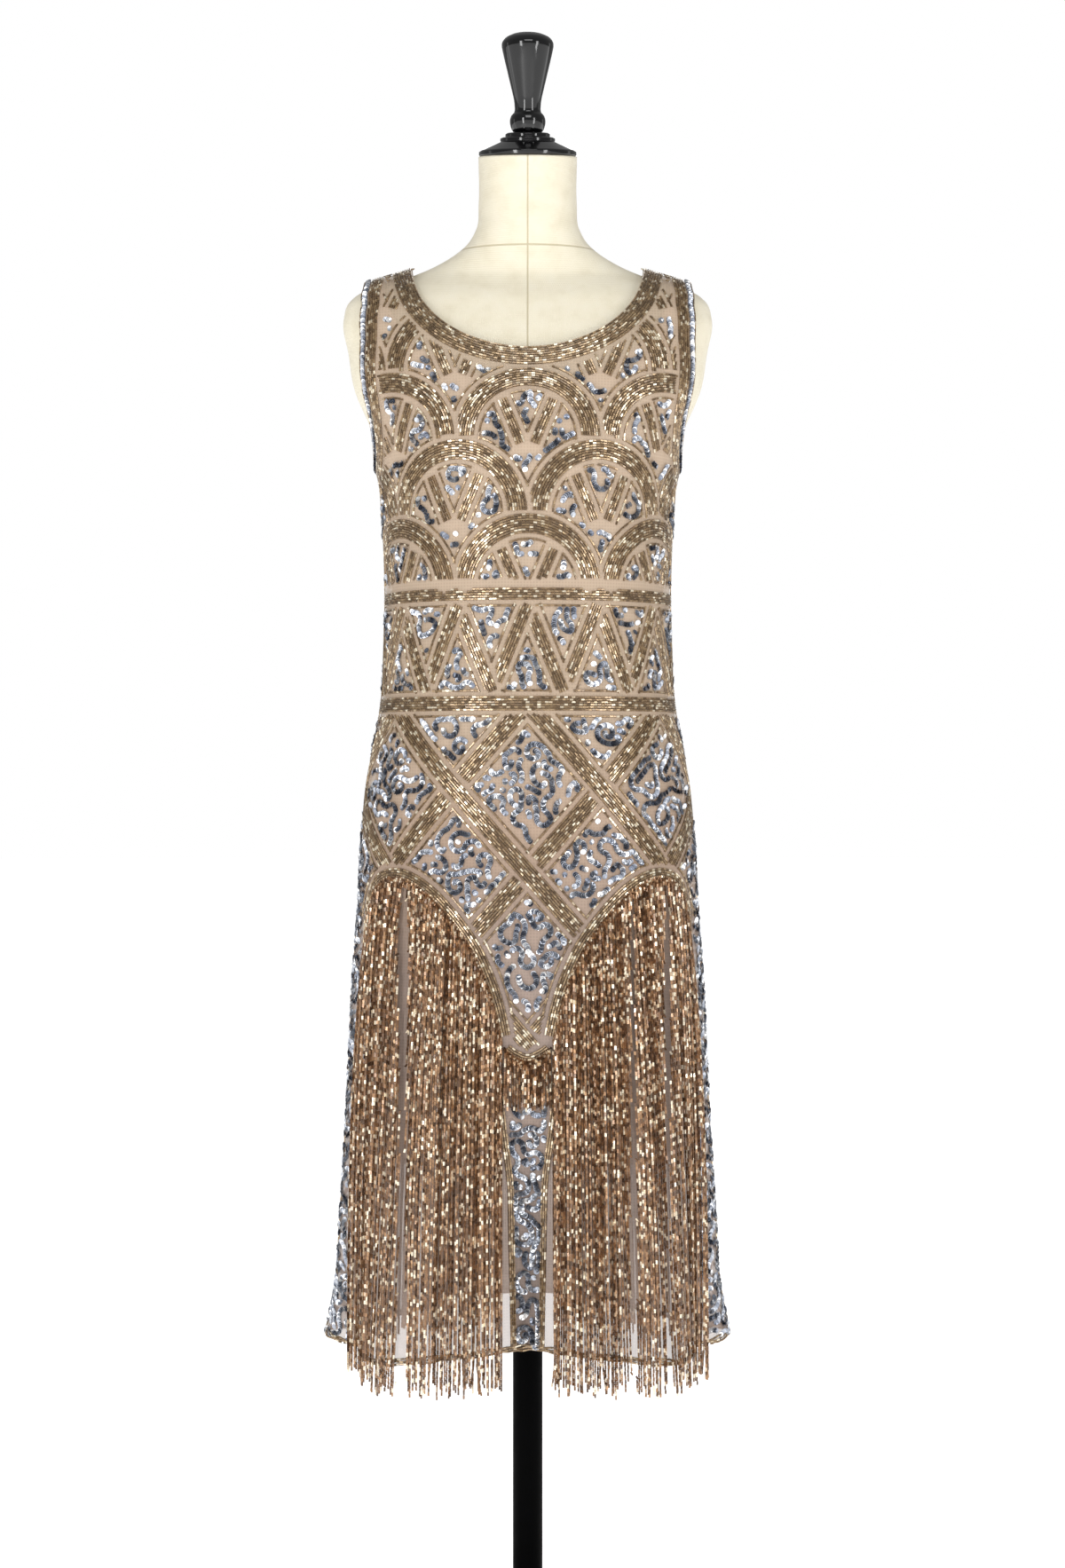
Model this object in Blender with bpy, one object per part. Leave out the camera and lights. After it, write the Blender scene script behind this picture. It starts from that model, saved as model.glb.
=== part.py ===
"""Sleeveless beaded evening gown with arched bead fringe, on a limbless dress form with a turned
black finial, a pole and a round foot. Metres, +Z up, front towards -Y, origin on the floor under the pole.

Every horizontal section of the form and of the cloth is a rounded oval. A place on a section is its
share of the way round: 0 on the centre line, 1 at the right side seam and -1 at the left one.
"""
import math

import bpy
import numpy as np
from mathutils import Euler, Vector
from mathutils.bvhtree import BVHTree

FRONT = -1
BACK = 1

# Cloth and clearances
GOWN_WALL = 0.0015
SLIP_WALL = 0.0010
SLIP_REST = 0.0024
GOWN_REST = 0.0058
FORM_INSET = 0.0026
BASE_EDGE = 0.96
SEAM_GAP = 0.0003
SEAT_GAP = 0.0003

# Heights of the gown and the slip under it
HEM_Z = 0.361
SLIP_HEM_Z = 0.549
YOKE_Z = 1.270
ARMHOLE_LOW_Z = 1.272
SHOULDER_TIP_Z = 1.4530
HANG_Z = 1.215
REST_Z = 1.290

# Neck and armhole ovals. The neck's oval is seen from the front, the armhole's from the side.
NECK_POINT_Z = 1.4700
NECK_HALF_WIDTH = 0.1185
FRONT_NECK_DROP = 0.093
BACK_NECK_DROP = 0.050
SLIP_NECK_HALF_WIDTH = 0.148
SLIP_NECK_POINT_Z = 1.4600
SLIP_FRONT_NECK_DROP = 0.119
SLIP_BACK_NECK_DROP = 0.074
ARMHOLE_HALF_DEPTH = 0.055
ARMHOLE_SQUARENESS = 2.5

# Grid of a panel: columns on each half, and how many of them end on the neck
GOWN_COLUMNS = 12
GOWN_NECK_COLUMNS = 9
GOWN_SKIRT_ROWS = 15
GOWN_YOKE_ROWS = 12
SLIP_COLUMNS = 9
SLIP_NECK_COLUMNS = 7
SLIP_SKIRT_ROWS = 8
SLIP_YOKE_ROWS = 12
ROW_CROWDING = 1.75
GOWN_SKIRT_CROWDING = 1.0
SLIP_SKIRT_CROWDING = 1.3
NECK_CROWDING = 1.4
# Evening out the gown's grid above the bust, over cloth about this long from centre line to side
YOKE_QUARTER_LENGTH = 0.24
GOWN_EVENING_ROUNDS = 200
SLIP_EVENING_ROUNDS = 0
EVENING_STEP = 0.8
SECTION_POINTS = 121

# Stand and head of the form
POLE_RADIUS = 0.0155
FOOT_RADIUS = 0.206
FOOT_HUB_TOP = 0.052
NECK_TILT = math.radians(11.0)
NECK_TOP_Z = 1.594
NECK_STRAIGHTEN_Z = 1.516
TURNED_STEPS = 24
FORM_STEPS = 32

# Sections of the padded form, from its base to its neck
SECTION_COLUMNS = ("z", "half_width", "front", "back", "squareness")
FORM_SECTIONS = (
    (0.760, 0.150, 0.096, 0.112, 2.15),
    (0.860, 0.163, 0.104, 0.122, 2.15),
    (0.950, 0.157, 0.100, 0.114, 2.15),
    (1.080, 0.124, 0.086, 0.080, 2.10),
    (1.170, 0.134, 0.098, 0.086, 2.10),
    (1.255, 0.148, 0.119, 0.094, 2.15),
    (1.310, 0.167, 0.113, 0.098, 2.30),
    (1.350, 0.184, 0.102, 0.099, 2.40),
    (1.386, 0.190, 0.091, 0.096, 2.50),
    (1.4235, 0.195, 0.073, 0.084, 2.50),
    (1.440, 0.189, 0.063, 0.072, 2.40),
    (1.450, 0.176, 0.055, 0.063, 2.25),
    (1.4575, 0.156, 0.0495, 0.0565, 2.10),
    (1.464, 0.134, 0.046, 0.053, 2.00),
    (1.472, 0.112, 0.044, 0.051, 2.00),
    (1.484, 0.088, 0.043, 0.050, 2.00),
    (1.497, 0.070, 0.043, 0.0495, 2.00),
    (1.5165, 0.0570, 0.0445, 0.0495, 2.00),
    (1.545, 0.0540, 0.0465, 0.0500, 2.00),
    (1.594, 0.0542, 0.0520, 0.0520, 2.00),
)
FORM_RING_Z = (
    0.760, 0.766, 0.860, 0.950, 1.020, 1.080, 1.140, 1.200, 1.255, 1.290, 1.325, 1.360, 1.390, 1.412,
    1.428, 1.438, 1.446, 1.453, 1.459, 1.4655, 1.473, 1.484, 1.498, 1.516, 1.542, 1.568, 1.594,
)

# Inner face of the gown where it hangs free, from the hem to the bust
GOWN_SECTIONS = (
    (0.361, 0.2110, 0.136, 0.180, 2.15),
    (0.414, 0.2000, 0.135, 0.174, 2.15),
    (0.480, 0.1955, 0.133, 0.166, 2.15),
    (0.563, 0.1900, 0.131, 0.156, 2.15),
    (0.656, 0.1850, 0.128, 0.146, 2.15),
    (0.730, 0.1815, 0.125, 0.139, 2.15),
    (0.805, 0.1760, 0.122, 0.134, 2.15),
    (0.880, 0.1720, 0.120, 0.131, 2.15),
    (0.935, 0.1670, 0.118, 0.125, 2.15),
    (0.975, 0.1600, 0.117, 0.119, 2.15),
    (1.012, 0.1530, 0.117, 0.112, 2.15),
    (1.083, 0.1485, 0.118, 0.106, 2.15),
    (1.170, 0.1480, 0.121, 0.103, 2.15),
    (1.214, 0.1505, 0.1225, 0.102, 2.15),
    (1.251, 0.1545, 0.123, 0.102, 2.25),
    (1.290, 0.1640, 0.119, 0.105, 2.30),
)

# Inner face of the slip where it hangs free
SLIP_SECTIONS = (
    (0.549, 0.1700, 0.097, 0.127, 2.15),
    (0.650, 0.1710, 0.104, 0.127, 2.15),
    (0.750, 0.1710, 0.110, 0.128, 2.15),
    (0.860, 0.1660, 0.1095, 0.1265, 2.15),
    (0.950, 0.1580, 0.1075, 0.1165, 2.15),
    (1.012, 0.1475, 0.1060, 0.1050, 2.15),
    (1.083, 0.1430, 0.108, 0.099, 2.15),
    (1.170, 0.1420, 0.112, 0.097, 2.15),
    (1.214, 0.1445, 0.117, 0.097, 2.15),
    (1.251, 0.1495, 0.1195, 0.098, 2.25),
    (1.290, 0.1600, 0.1165, 0.101, 2.30),
)

# Folds of the skirt: share of the way from the centre line to the seam, spread in shares, and how far
# the hem moves out there. They fade upwards to nothing at FOLD_TOP_Z.
FOLD_TOP_Z = 0.875
FOLD_GROWTH = 1.6
FOLD_COLUMNS = ("name", "face", "share", "spread", "out")
SKIRT_FOLDS = (
    ("centre front hollow", FRONT, 0.00, 0.17, -0.052),
    ("front flute", FRONT, 0.44, 0.15, 0.020),
    ("front side hollow", FRONT, 0.76, 0.11, -0.030),
    ("back side hollow", BACK, 0.78, 0.12, -0.030),
    ("back quarter hollow", BACK, 0.46, 0.13, -0.016),
    ("centre back flute", BACK, 0.00, 0.24, 0.016),
)

# Fringe: the arch that it hangs from, as distance from the centre line and height
ARCH_COLUMNS = ("x", "z")
FRINGE_ARCH = (
    (0.027, 0.684),
    (0.033, 0.712),
    (0.041, 0.738),
    (0.054, 0.768),
    (0.068, 0.790),
    (0.085, 0.811),
    (0.100, 0.826),
    (0.118, 0.838),
    (0.135, 0.842),
    (0.150, 0.836),
    (0.159, 0.820),
    (0.1635, 0.797),
)
TIER_ARCH = (
    (-0.024, 0.672),
    (-0.012, 0.664),
    (0.000, 0.660),
    (0.012, 0.664),
    (0.024, 0.672),
)
ARCH_STRANDS = 32
TIER_STRANDS = 9
STRIP_WIDTH = 0.0050
STRIP_THICK = 0.0016
STRIP_SEAT = 0.0006
STRAND_THICK = 0.0013
STRAND_DROP = 0.0045
STRAND_STEP_OUT = 0.0012
STRAND_CLEAR = 0.0030
FAN_WIDTH = 0.19
FAN_DEPTH = 0.13
FRINGE_TIP_Z = 0.345
FRINGE_RAGGED = 0.011
TIER_TIP_Z = 0.613
TIER_RAGGED = 0.003
FRINGE_SPREAD = 0.018

# Turned profiles as radius and height above the neck's top, from the lowest point at the rim
CAP_PROFILE = (
    (0.0000, 0.0000), (0.0500, 0.0000), (0.0515, 0.0012), (0.0515, 0.0050), (0.0500, 0.0064),
    (0.0290, 0.0158), (0.0290, 0.0192), (0.0275, 0.0202), (0.0236, 0.0207), (0.0236, 0.0238),
    (0.0222, 0.0250), (0.0000, 0.0250),
)
FINIAL_PROFILE = (
    (0.0000, 0.0253), (0.0150, 0.0253), (0.0172, 0.0290), (0.0188, 0.0345), (0.0188, 0.0395),
    (0.0172, 0.0440), (0.0142, 0.0468), (0.0136, 0.0500), (0.0142, 0.0590), (0.0196, 0.0820),
    (0.0250, 0.1045), (0.0274, 0.1160), (0.0268, 0.1208), (0.0225, 0.1258), (0.0130, 0.1300),
    (0.0000, 0.1313),
)
FOOT_PROFILE = (
    (0.0000, 0.0000), (0.2020, 0.0000), (FOOT_RADIUS, 0.0040), (FOOT_RADIUS, 0.0120), (0.2020, 0.0170),
    (0.1500, 0.0285), (0.1000, 0.0385), (0.0600, 0.0455), (0.0300, 0.0500), (0.0250, FOOT_HUB_TOP),
    (0.0000, FOOT_HUB_TOP),
)


def clear_scene():
    for item in list(bpy.data.objects):
        bpy.data.objects.remove(item, do_unlink=True)


def make_material(name, colour, roughness, metallic):
    """A Principled BSDF with one linear colour."""
    made = bpy.data.materials.new(name)
    made.use_nodes = True
    shader = made.node_tree.nodes["Principled BSDF"]
    shader.inputs["Base Color"].default_value = (*colour, 1.0)
    shader.inputs["Roughness"].default_value = roughness
    shader.inputs["Metallic"].default_value = metallic
    return made


def signed_volume(points, faces):
    """The volume that the faces enclose, below zero when they point inwards."""
    total = 0.0
    for face in faces:
        for b, c in zip(face[1:], face[2:]):
            total += np.dot(points[face[0]], np.cross(points[b], points[c]))
    return total / 6


def make_object(name, points, faces, material, parent=None):
    """A mesh object with its faces turned outwards and its soft edges smooth."""
    if signed_volume(points, faces) < 0:
        faces = [tuple(reversed(face)) for face in faces]
    mesh = bpy.data.meshes.new(name)
    mesh.from_pydata([tuple(float(c) for c in p) for p in points], [], faces)
    mesh.materials.append(material)
    mesh.shade_smooth()
    mesh.set_sharp_from_angle(angle=math.radians(40))
    made = bpy.data.objects.new(name, mesh)
    bpy.context.scene.collection.objects.link(made)
    made.parent = parent
    return made


def smooth_at(places, values, at):
    """A smooth curve through the table's points, read at one place (cubic Hermite, held at its ends)."""
    at = min(max(at, places[0]), places[-1])
    i = min(max(int(np.searchsorted(places, at)) - 1, 0), len(places) - 2)
    slopes = np.gradient(values, places)
    width = places[i + 1] - places[i]
    t = (at - places[i]) / width
    rise = 3 * t**2 - 2 * t**3
    return float(
        values[i] * (1 - rise)
        + values[i + 1] * rise
        + slopes[i] * width * (t - 2 * t**2 + t**3)
        + slopes[i + 1] * width * (t**3 - t**2)
    )


def smooth_step(low, high, at):
    t = min(max((at - low) / (high - low), 0.0), 1.0)
    return t * t * (3 - 2 * t)


def column(table, columns, name):
    return np.array([row[columns.index(name)] for row in table], float)


class Sections:
    """A stack of rounded oval sections, read smoothly at any height."""

    def __init__(self, table):
        self.heights = column(table, SECTION_COLUMNS, "z")
        self.sizes = {name: column(table, SECTION_COLUMNS, name) for name in SECTION_COLUMNS[1:]}

    def size(self, name, z):
        return smooth_at(self.heights, self.sizes[name], z)

    def quarter(self, z, face):
        """One quarter of a section from its centre line to its side: x, y, and share of its length."""
        angle = np.linspace(0, math.pi / 2, SECTION_POINTS)
        power = 2 / self.size("squareness", z)
        x = self.size("half_width", z) * np.sin(angle) ** power
        depth = self.size("front" if face == FRONT else "back", z)
        y = face * depth * np.clip(np.cos(angle), 0, 1) ** power
        length = np.concatenate([[0], np.cumsum(np.hypot(np.diff(x), np.diff(y)))])
        return x, y, length / length[-1]

    def point(self, z, share, face):
        x, y, shares = self.quarter(z, face)
        side = -1 if share < 0 else 1
        reach = min(abs(share), 1.0)
        return np.array([side * np.interp(reach, shares, x), np.interp(reach, shares, y), z])

    def share_at_x(self, z, x, face):
        xs, _, shares = self.quarter(z, face)
        return math.copysign(float(np.interp(abs(x), xs, shares)), x)

    def share_at_depth(self, z, depth, face):
        """The share at which the section's side has that distance from the seam's plane."""
        _, ys, shares = self.quarter(z, face)
        return float(np.interp(depth, np.abs(ys)[::-1], shares[::-1]))


FORM = Sections(FORM_SECTIONS)
GOWN = Sections(GOWN_SECTIONS)
SLIP = Sections(SLIP_SECTIONS)


def normal_of(surface, z, share, face):
    """The outward normal of a surface given as a function of height, share and face."""
    step_z, step_share = 0.0015, 0.004
    inside = min(max(share, -1 + step_share), 1 - step_share)
    across = surface(z, inside + step_share, face) - surface(z, inside - step_share, face)
    up = surface(z + step_z, inside, face) - surface(z - step_z, inside, face)
    normal = np.cross(across, up) * (-face)
    return normal / np.linalg.norm(normal)


def fold_out(z, share, face):
    """How far the skirt's folds move the cloth out at a place."""
    growth = max((FOLD_TOP_Z - z) / (FOLD_TOP_Z - HEM_Z), 0.0) ** FOLD_GROWTH
    total = 0.0
    for _, fold_face, centre, spread, out in SKIRT_FOLDS:
        if fold_face == face:
            total += out * math.exp(-(((abs(share) - centre) / spread) ** 2))
    return total * growth


def cloth_surface(sections, rest, folds):
    """A layer of cloth: it rests that far off the form from the bust up, and hangs free below."""

    def surface(z, share, face):
        on_form = smooth_step(HANG_Z, REST_Z, z)
        place = np.zeros(3)
        if on_form > 0:
            lying = FORM.point(z, share, face) + rest * normal_of(FORM.point, z, share, face)
            place += on_form * lying
        if on_form < 1:
            hanging = sections.point(z, share, face)
            if folds and z < FOLD_TOP_Z:
                out = fold_out(z, share, face)
                hanging = hanging + out * normal_of(sections.point, z, share, face)
            place += (1 - on_form) * hanging
        return place

    return surface


gown_surface = cloth_surface(GOWN, GOWN_REST, folds=True)
slip_surface = cloth_surface(SLIP, SLIP_REST, folds=False)


def armhole_share(z, face):
    middle = (ARMHOLE_LOW_Z + SHOULDER_TIP_Z) / 2
    half_height = (SHOULDER_TIP_Z - ARMHOLE_LOW_Z) / 2
    inside = 1 - abs((z - middle) / half_height) ** ARMHOLE_SQUARENESS
    if inside <= 0:
        return 1.0
    return FORM.share_at_depth(z, ARMHOLE_HALF_DEPTH * inside ** (1 / ARMHOLE_SQUARENESS), face)


def evened(share, z, rounds):
    """Moves a patch's inner points until its lines run smoothly and no cell folds over; its edges stay.

    In every round each point moves towards a weighted mean: its two neighbours along a line count as much
    as the line that crosses there is stretched, less twice the mix of both directions. These are the
    equations of a smooth curved grid, solved in real lengths along the cloth.
    """
    x, y = share * YOKE_QUARTER_LENGTH, z.copy()
    for _ in range(rounds):
        across = [(p[1:-1, 2:] - p[1:-1, :-2]) / 2 for p in (x, y)]
        upward = [(p[2:, 1:-1] - p[:-2, 1:-1]) / 2 for p in (x, y)]
        up_stretch = upward[0] ** 2 + upward[1] ** 2
        across_stretch = across[0] ** 2 + across[1] ** 2
        mix = across[0] * upward[0] + across[1] * upward[1]
        for p in (x, y):
            twist = (p[2:, 2:] - p[2:, :-2] - p[:-2, 2:] + p[:-2, :-2]) / 4
            beside = up_stretch * (p[1:-1, 2:] + p[1:-1, :-2])
            above = across_stretch * (p[2:, 1:-1] + p[:-2, 1:-1])
            mean = (beside + above - 2 * mix * twist) / (2 * (up_stretch + across_stretch))
            p[1:-1, 1:-1] += EVENING_STEP * (mean - p[1:-1, 1:-1])
    return x / YOKE_QUARTER_LENGTH, y


def yoke_grid(face, columns, neck_columns, rows, half_width, neck_z, drop, rounds):
    """Shares and heights of the part above the bust on one half, spread between its four edges.

    The lower edge is level, the inner one is the centre line, the outer one is the armhole, and the
    upper one is the neck's oval and then the shoulder seam. Its rows crowd together up on the shoulder,
    where the form turns over.
    """
    neck_angles = math.pi / 2 * (1 - np.linspace(1, 0, neck_columns + 1) ** NECK_CROWDING)
    top = []
    for angle in neck_angles:
        z = neck_z - drop * math.cos(angle)
        top.append((FORM.share_at_x(z, half_width * math.sin(angle), face), z))
    top[-1] = (1.0, neck_z)
    for i in range(1, columns - neck_columns + 1):
        along = i / (columns - neck_columns)
        top.append((1.0, neck_z + (SHOULDER_TIP_Z - neck_z) * along))
    top_share, top_z = np.array(top).T
    u = np.linspace(0, 1, columns + 1)
    v = (1 - (1 - np.arange(rows + 1) / rows) ** ROW_CROWDING)[:, None]
    edge_z = YOKE_Z + (SHOULDER_TIP_Z - YOKE_Z) * v[:, 0]
    edge = np.array([armhole_share(z, face) for z in edge_z])[:, None]
    share = (1 - v) * u + v * top_share + u * (edge - 1)
    share, z = evened(share, YOKE_Z + v * (top_z - YOKE_Z), rounds)
    return [list(zip(*row)) for row in zip(share[1:].tolist(), z[1:].tolist())]


def panel_grid(columns, skirt_rows, crowding, hem_z, yoke):
    """Shares and heights of a whole panel, row by row from the hem, and from seam to seam."""
    half = []
    for j in range(skirt_rows + 1):
        z = YOKE_Z - (YOKE_Z - hem_z) * (1 - j / skirt_rows) ** crowding
        half.append([(i / columns, z) for i in range(columns + 1)])
    half += yoke
    return [[(-s, z) for s, z in row[:0:-1]] + row for row in half]


class Cloth:
    """A panel's inner and outer points, row by row from the hem, and from seam to seam."""

    def __init__(self, surface, wall, face, grid):
        self.heights = np.array([row[0][1] for row in grid])
        self.shares = np.array([share for share, _ in grid[0]])
        self.inner = np.zeros((len(grid), len(grid[0]), 3))
        self.normals = np.zeros_like(self.inner)
        for j, row in enumerate(grid):
            for i, (share, z) in enumerate(row):
                point = surface(z, share, face)
                normal = normal_of(surface, z, share, face)
                if abs(share) > 1 - 1e-6:
                    point = point + np.array([0.0, face * SEAM_GAP / 2, 0.0])
                    normal = normal * np.array([1.0, 0.0, 1.0])
                self.inner[j, i] = point
                self.normals[j, i] = normal / np.linalg.norm(normal)
        self.outer = self.inner + wall * self.normals
        across = len(grid[0])
        self.cells = []
        for j in range(len(grid) - 1):
            for i in range(across - 1):
                a = j * across + i
                b, c, d = a + 1, a + 1 + across, a + across
                right = i >= (across - 1) / 2
                self.cells += [(a, b, c), (a, c, d)] if right else [(a, b, d), (b, c, d)]
        self.tree = BVHTree.FromPolygons([Vector(p) for p in self.outer.reshape(-1, 3)], self.cells)

    def out_to(self, place, outward, far=0.4):
        """How far out from a place the outer face lies, met from the outside."""
        start = place + far * outward
        hit = self.tree.ray_cast(Vector(start), Vector(-outward), 2 * far)[0]
        return -far if hit is None else float(np.dot(np.array(hit) - place, outward))

    def at(self, z, share):
        """The outer face and its normal on the skirt's grid, between its four nearest points."""
        j = min(max(int(np.searchsorted(self.heights, z)) - 1, 0), len(self.heights) - 2)
        i = min(max(int(np.searchsorted(self.shares, share)) - 1, 0), len(self.shares) - 2)
        v = (z - self.heights[j]) / (self.heights[j + 1] - self.heights[j])
        u = (share - self.shares[i]) / (self.shares[i + 1] - self.shares[i])
        found = []
        for points in (self.outer, self.normals):
            low = (1 - u) * points[j, i] + u * points[j, i + 1]
            high = (1 - u) * points[j + 1, i] + u * points[j + 1, i + 1]
            found.append((1 - v) * low + v * high)
        return found[0], found[1] / np.linalg.norm(found[1])


def make_wall(name, cloth, material):
    """A closed wall between a panel's inner and outer points."""
    rows, columns = cloth.inner.shape[:2]
    count = rows * columns
    faces = [tuple(reversed(cell)) for cell in cloth.cells]
    faces += [tuple(i + count for i in cell) for cell in cloth.cells]
    rim = list(range(columns))
    rim += [j * columns + columns - 1 for j in range(1, rows)]
    rim += [(rows - 1) * columns + i for i in range(columns - 2, -1, -1)]
    rim += [j * columns for j in range(rows - 2, 0, -1)]
    for a, b in zip(rim, rim[1:] + rim[:1]):
        faces.append((a, b, b + count, a + count))
    points = np.concatenate([cloth.inner.reshape(-1, 3), cloth.outer.reshape(-1, 3)])
    return make_object(name, points, faces, material)


def make_gown(material):
    """Both panels of the gown, and their points for what lies on them."""
    panels = {}
    for name, face, drop in (("gown_front", FRONT, FRONT_NECK_DROP), ("gown_back", BACK, BACK_NECK_DROP)):
        yoke = yoke_grid(
            face, GOWN_COLUMNS, GOWN_NECK_COLUMNS, GOWN_YOKE_ROWS,
            NECK_HALF_WIDTH, NECK_POINT_Z, drop, GOWN_EVENING_ROUNDS,
        )
        grid = panel_grid(GOWN_COLUMNS, GOWN_SKIRT_ROWS, GOWN_SKIRT_CROWDING, HEM_Z, yoke)
        panels[face] = Cloth(gown_surface, GOWN_WALL, face, grid)
        make_wall(name, panels[face], material)
    return panels


def make_slip(material):
    drops = (("slip_front", FRONT, SLIP_FRONT_NECK_DROP), ("slip_back", BACK, SLIP_BACK_NECK_DROP))
    for name, face, drop in drops:
        yoke = yoke_grid(
            face, SLIP_COLUMNS, SLIP_NECK_COLUMNS, SLIP_YOKE_ROWS,
            SLIP_NECK_HALF_WIDTH, SLIP_NECK_POINT_Z, drop, SLIP_EVENING_ROUNDS,
        )
        grid = panel_grid(SLIP_COLUMNS, SLIP_SKIRT_ROWS, SLIP_SKIRT_CROWDING, SLIP_HEM_Z, yoke)
        make_wall(name, Cloth(slip_surface, SLIP_WALL, face, grid), material)


def make_form(material):
    """The padded body: one loft of level rings, whose top rings lean with the neck."""
    points, faces = [], []
    for z in FORM_RING_Z:
        lean = smooth_step(NECK_STRAIGHTEN_Z, NECK_TOP_Z, z)
        for k in range(FORM_STEPS):
            turn = 4 * k / FORM_STEPS
            quarter, part = int(turn), turn - int(turn)
            share = (part, 1 - part, -part, part - 1)[quarter]
            face = (FRONT, BACK, BACK, FRONT)[quarter]
            point = FORM.point(z, share, face)
            if z > FORM_RING_Z[0]:
                point -= FORM_INSET * normal_of(FORM.point, z, share, face)
            else:
                point[:2] *= BASE_EDGE
            points.append(point + np.array([0.0, 0.0, lean * math.tan(NECK_TILT) * point[1]]))
    for j in range(len(FORM_RING_Z) - 1):
        for k in range(FORM_STEPS):
            a, b = j * FORM_STEPS + k, j * FORM_STEPS + (k + 1) % FORM_STEPS
            faces.append((a, b, b + FORM_STEPS, a + FORM_STEPS))
    faces.append(tuple(reversed(range(FORM_STEPS))))
    last = (len(FORM_RING_Z) - 1) * FORM_STEPS
    faces.append(tuple(range(last, last + FORM_STEPS)))
    make_object("form_body", points, faces, material)


def make_turned(name, profile, steps, material, parent=None):
    """A solid of revolution about Z. The profile runs from the axis up its outer side and back."""
    rings = profile[1:-1]
    points = [(0.0, 0.0, profile[0][1]), (0.0, 0.0, profile[-1][1])]
    for radius, height in rings:
        for k in range(steps):
            angle = 2 * math.pi * k / steps
            points.append((radius * math.cos(angle), radius * math.sin(angle), height))
    faces = []
    for k in range(steps):
        following = (k + 1) % steps
        faces.append((0, 2 + following, 2 + k))
        for j in range(len(rings) - 1):
            a, b = 2 + j * steps + k, 2 + j * steps + following
            faces.append((a, b, b + steps, a + steps))
        last = 2 + (len(rings) - 1) * steps
        faces.append((1, last + k, last + following))
    return make_object(name, points, faces, material, parent)


def make_stand(canvas, lacquer, enamel):
    make_form(canvas)
    neck = bpy.data.objects.new("neck_top", None)
    bpy.context.scene.collection.objects.link(neck)
    neck.location = (0.0, 0.0, NECK_TOP_Z + SEAT_GAP)
    neck.rotation_euler = Euler((NECK_TILT, 0.0, 0.0))
    make_turned("neck_cap", CAP_PROFILE, TURNED_STEPS, lacquer, neck)
    make_turned("finial", FINIAL_PROFILE, TURNED_STEPS, lacquer, neck)
    pole_low, pole_high = FOOT_HUB_TOP + SEAT_GAP, FORM_RING_Z[0] - SEAT_GAP
    pole_profile = ((0.0, pole_low), (POLE_RADIUS, pole_low), (POLE_RADIUS, pole_high), (0.0, pole_high))
    make_turned("stand_pole", pole_profile, TURNED_STEPS, enamel)
    make_turned("stand_foot", FOOT_PROFILE, FORM_STEPS, enamel)


def ragged(i):
    """A fixed uneven sequence from -1 to 1, for the ends of the strands."""
    return math.sin(i * 2.399963 + 0.7) * 0.6 + math.sin(i * 0.83) * 0.4


def strand_tip(cloth, elbow, tip_z, spread):
    """Where a strand ends that hangs from its elbow, straight and just clear of the skirt's folds."""
    x_tip = elbow[0] + math.copysign(spread * (abs(elbow[0]) / FRINGE_ARCH[-1][0]) ** 2, elbow[0])
    outward = np.array([x_tip / FAN_WIDTH**2, elbow[1] / FAN_DEPTH**2, 0.0])
    outward /= np.linalg.norm(outward)
    fall = np.array([x_tip - elbow[0], 0.0, tip_z - elbow[2]])
    reach = 0.0
    for along in np.linspace(0.08, 1.0, 24):
        place = elbow + fall * along
        if place[2] >= HEM_Z:
            reach = max(reach, (cloth.out_to(place, outward) + STRAND_CLEAR) / along)
    return elbow + fall + reach * outward, outward


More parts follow.
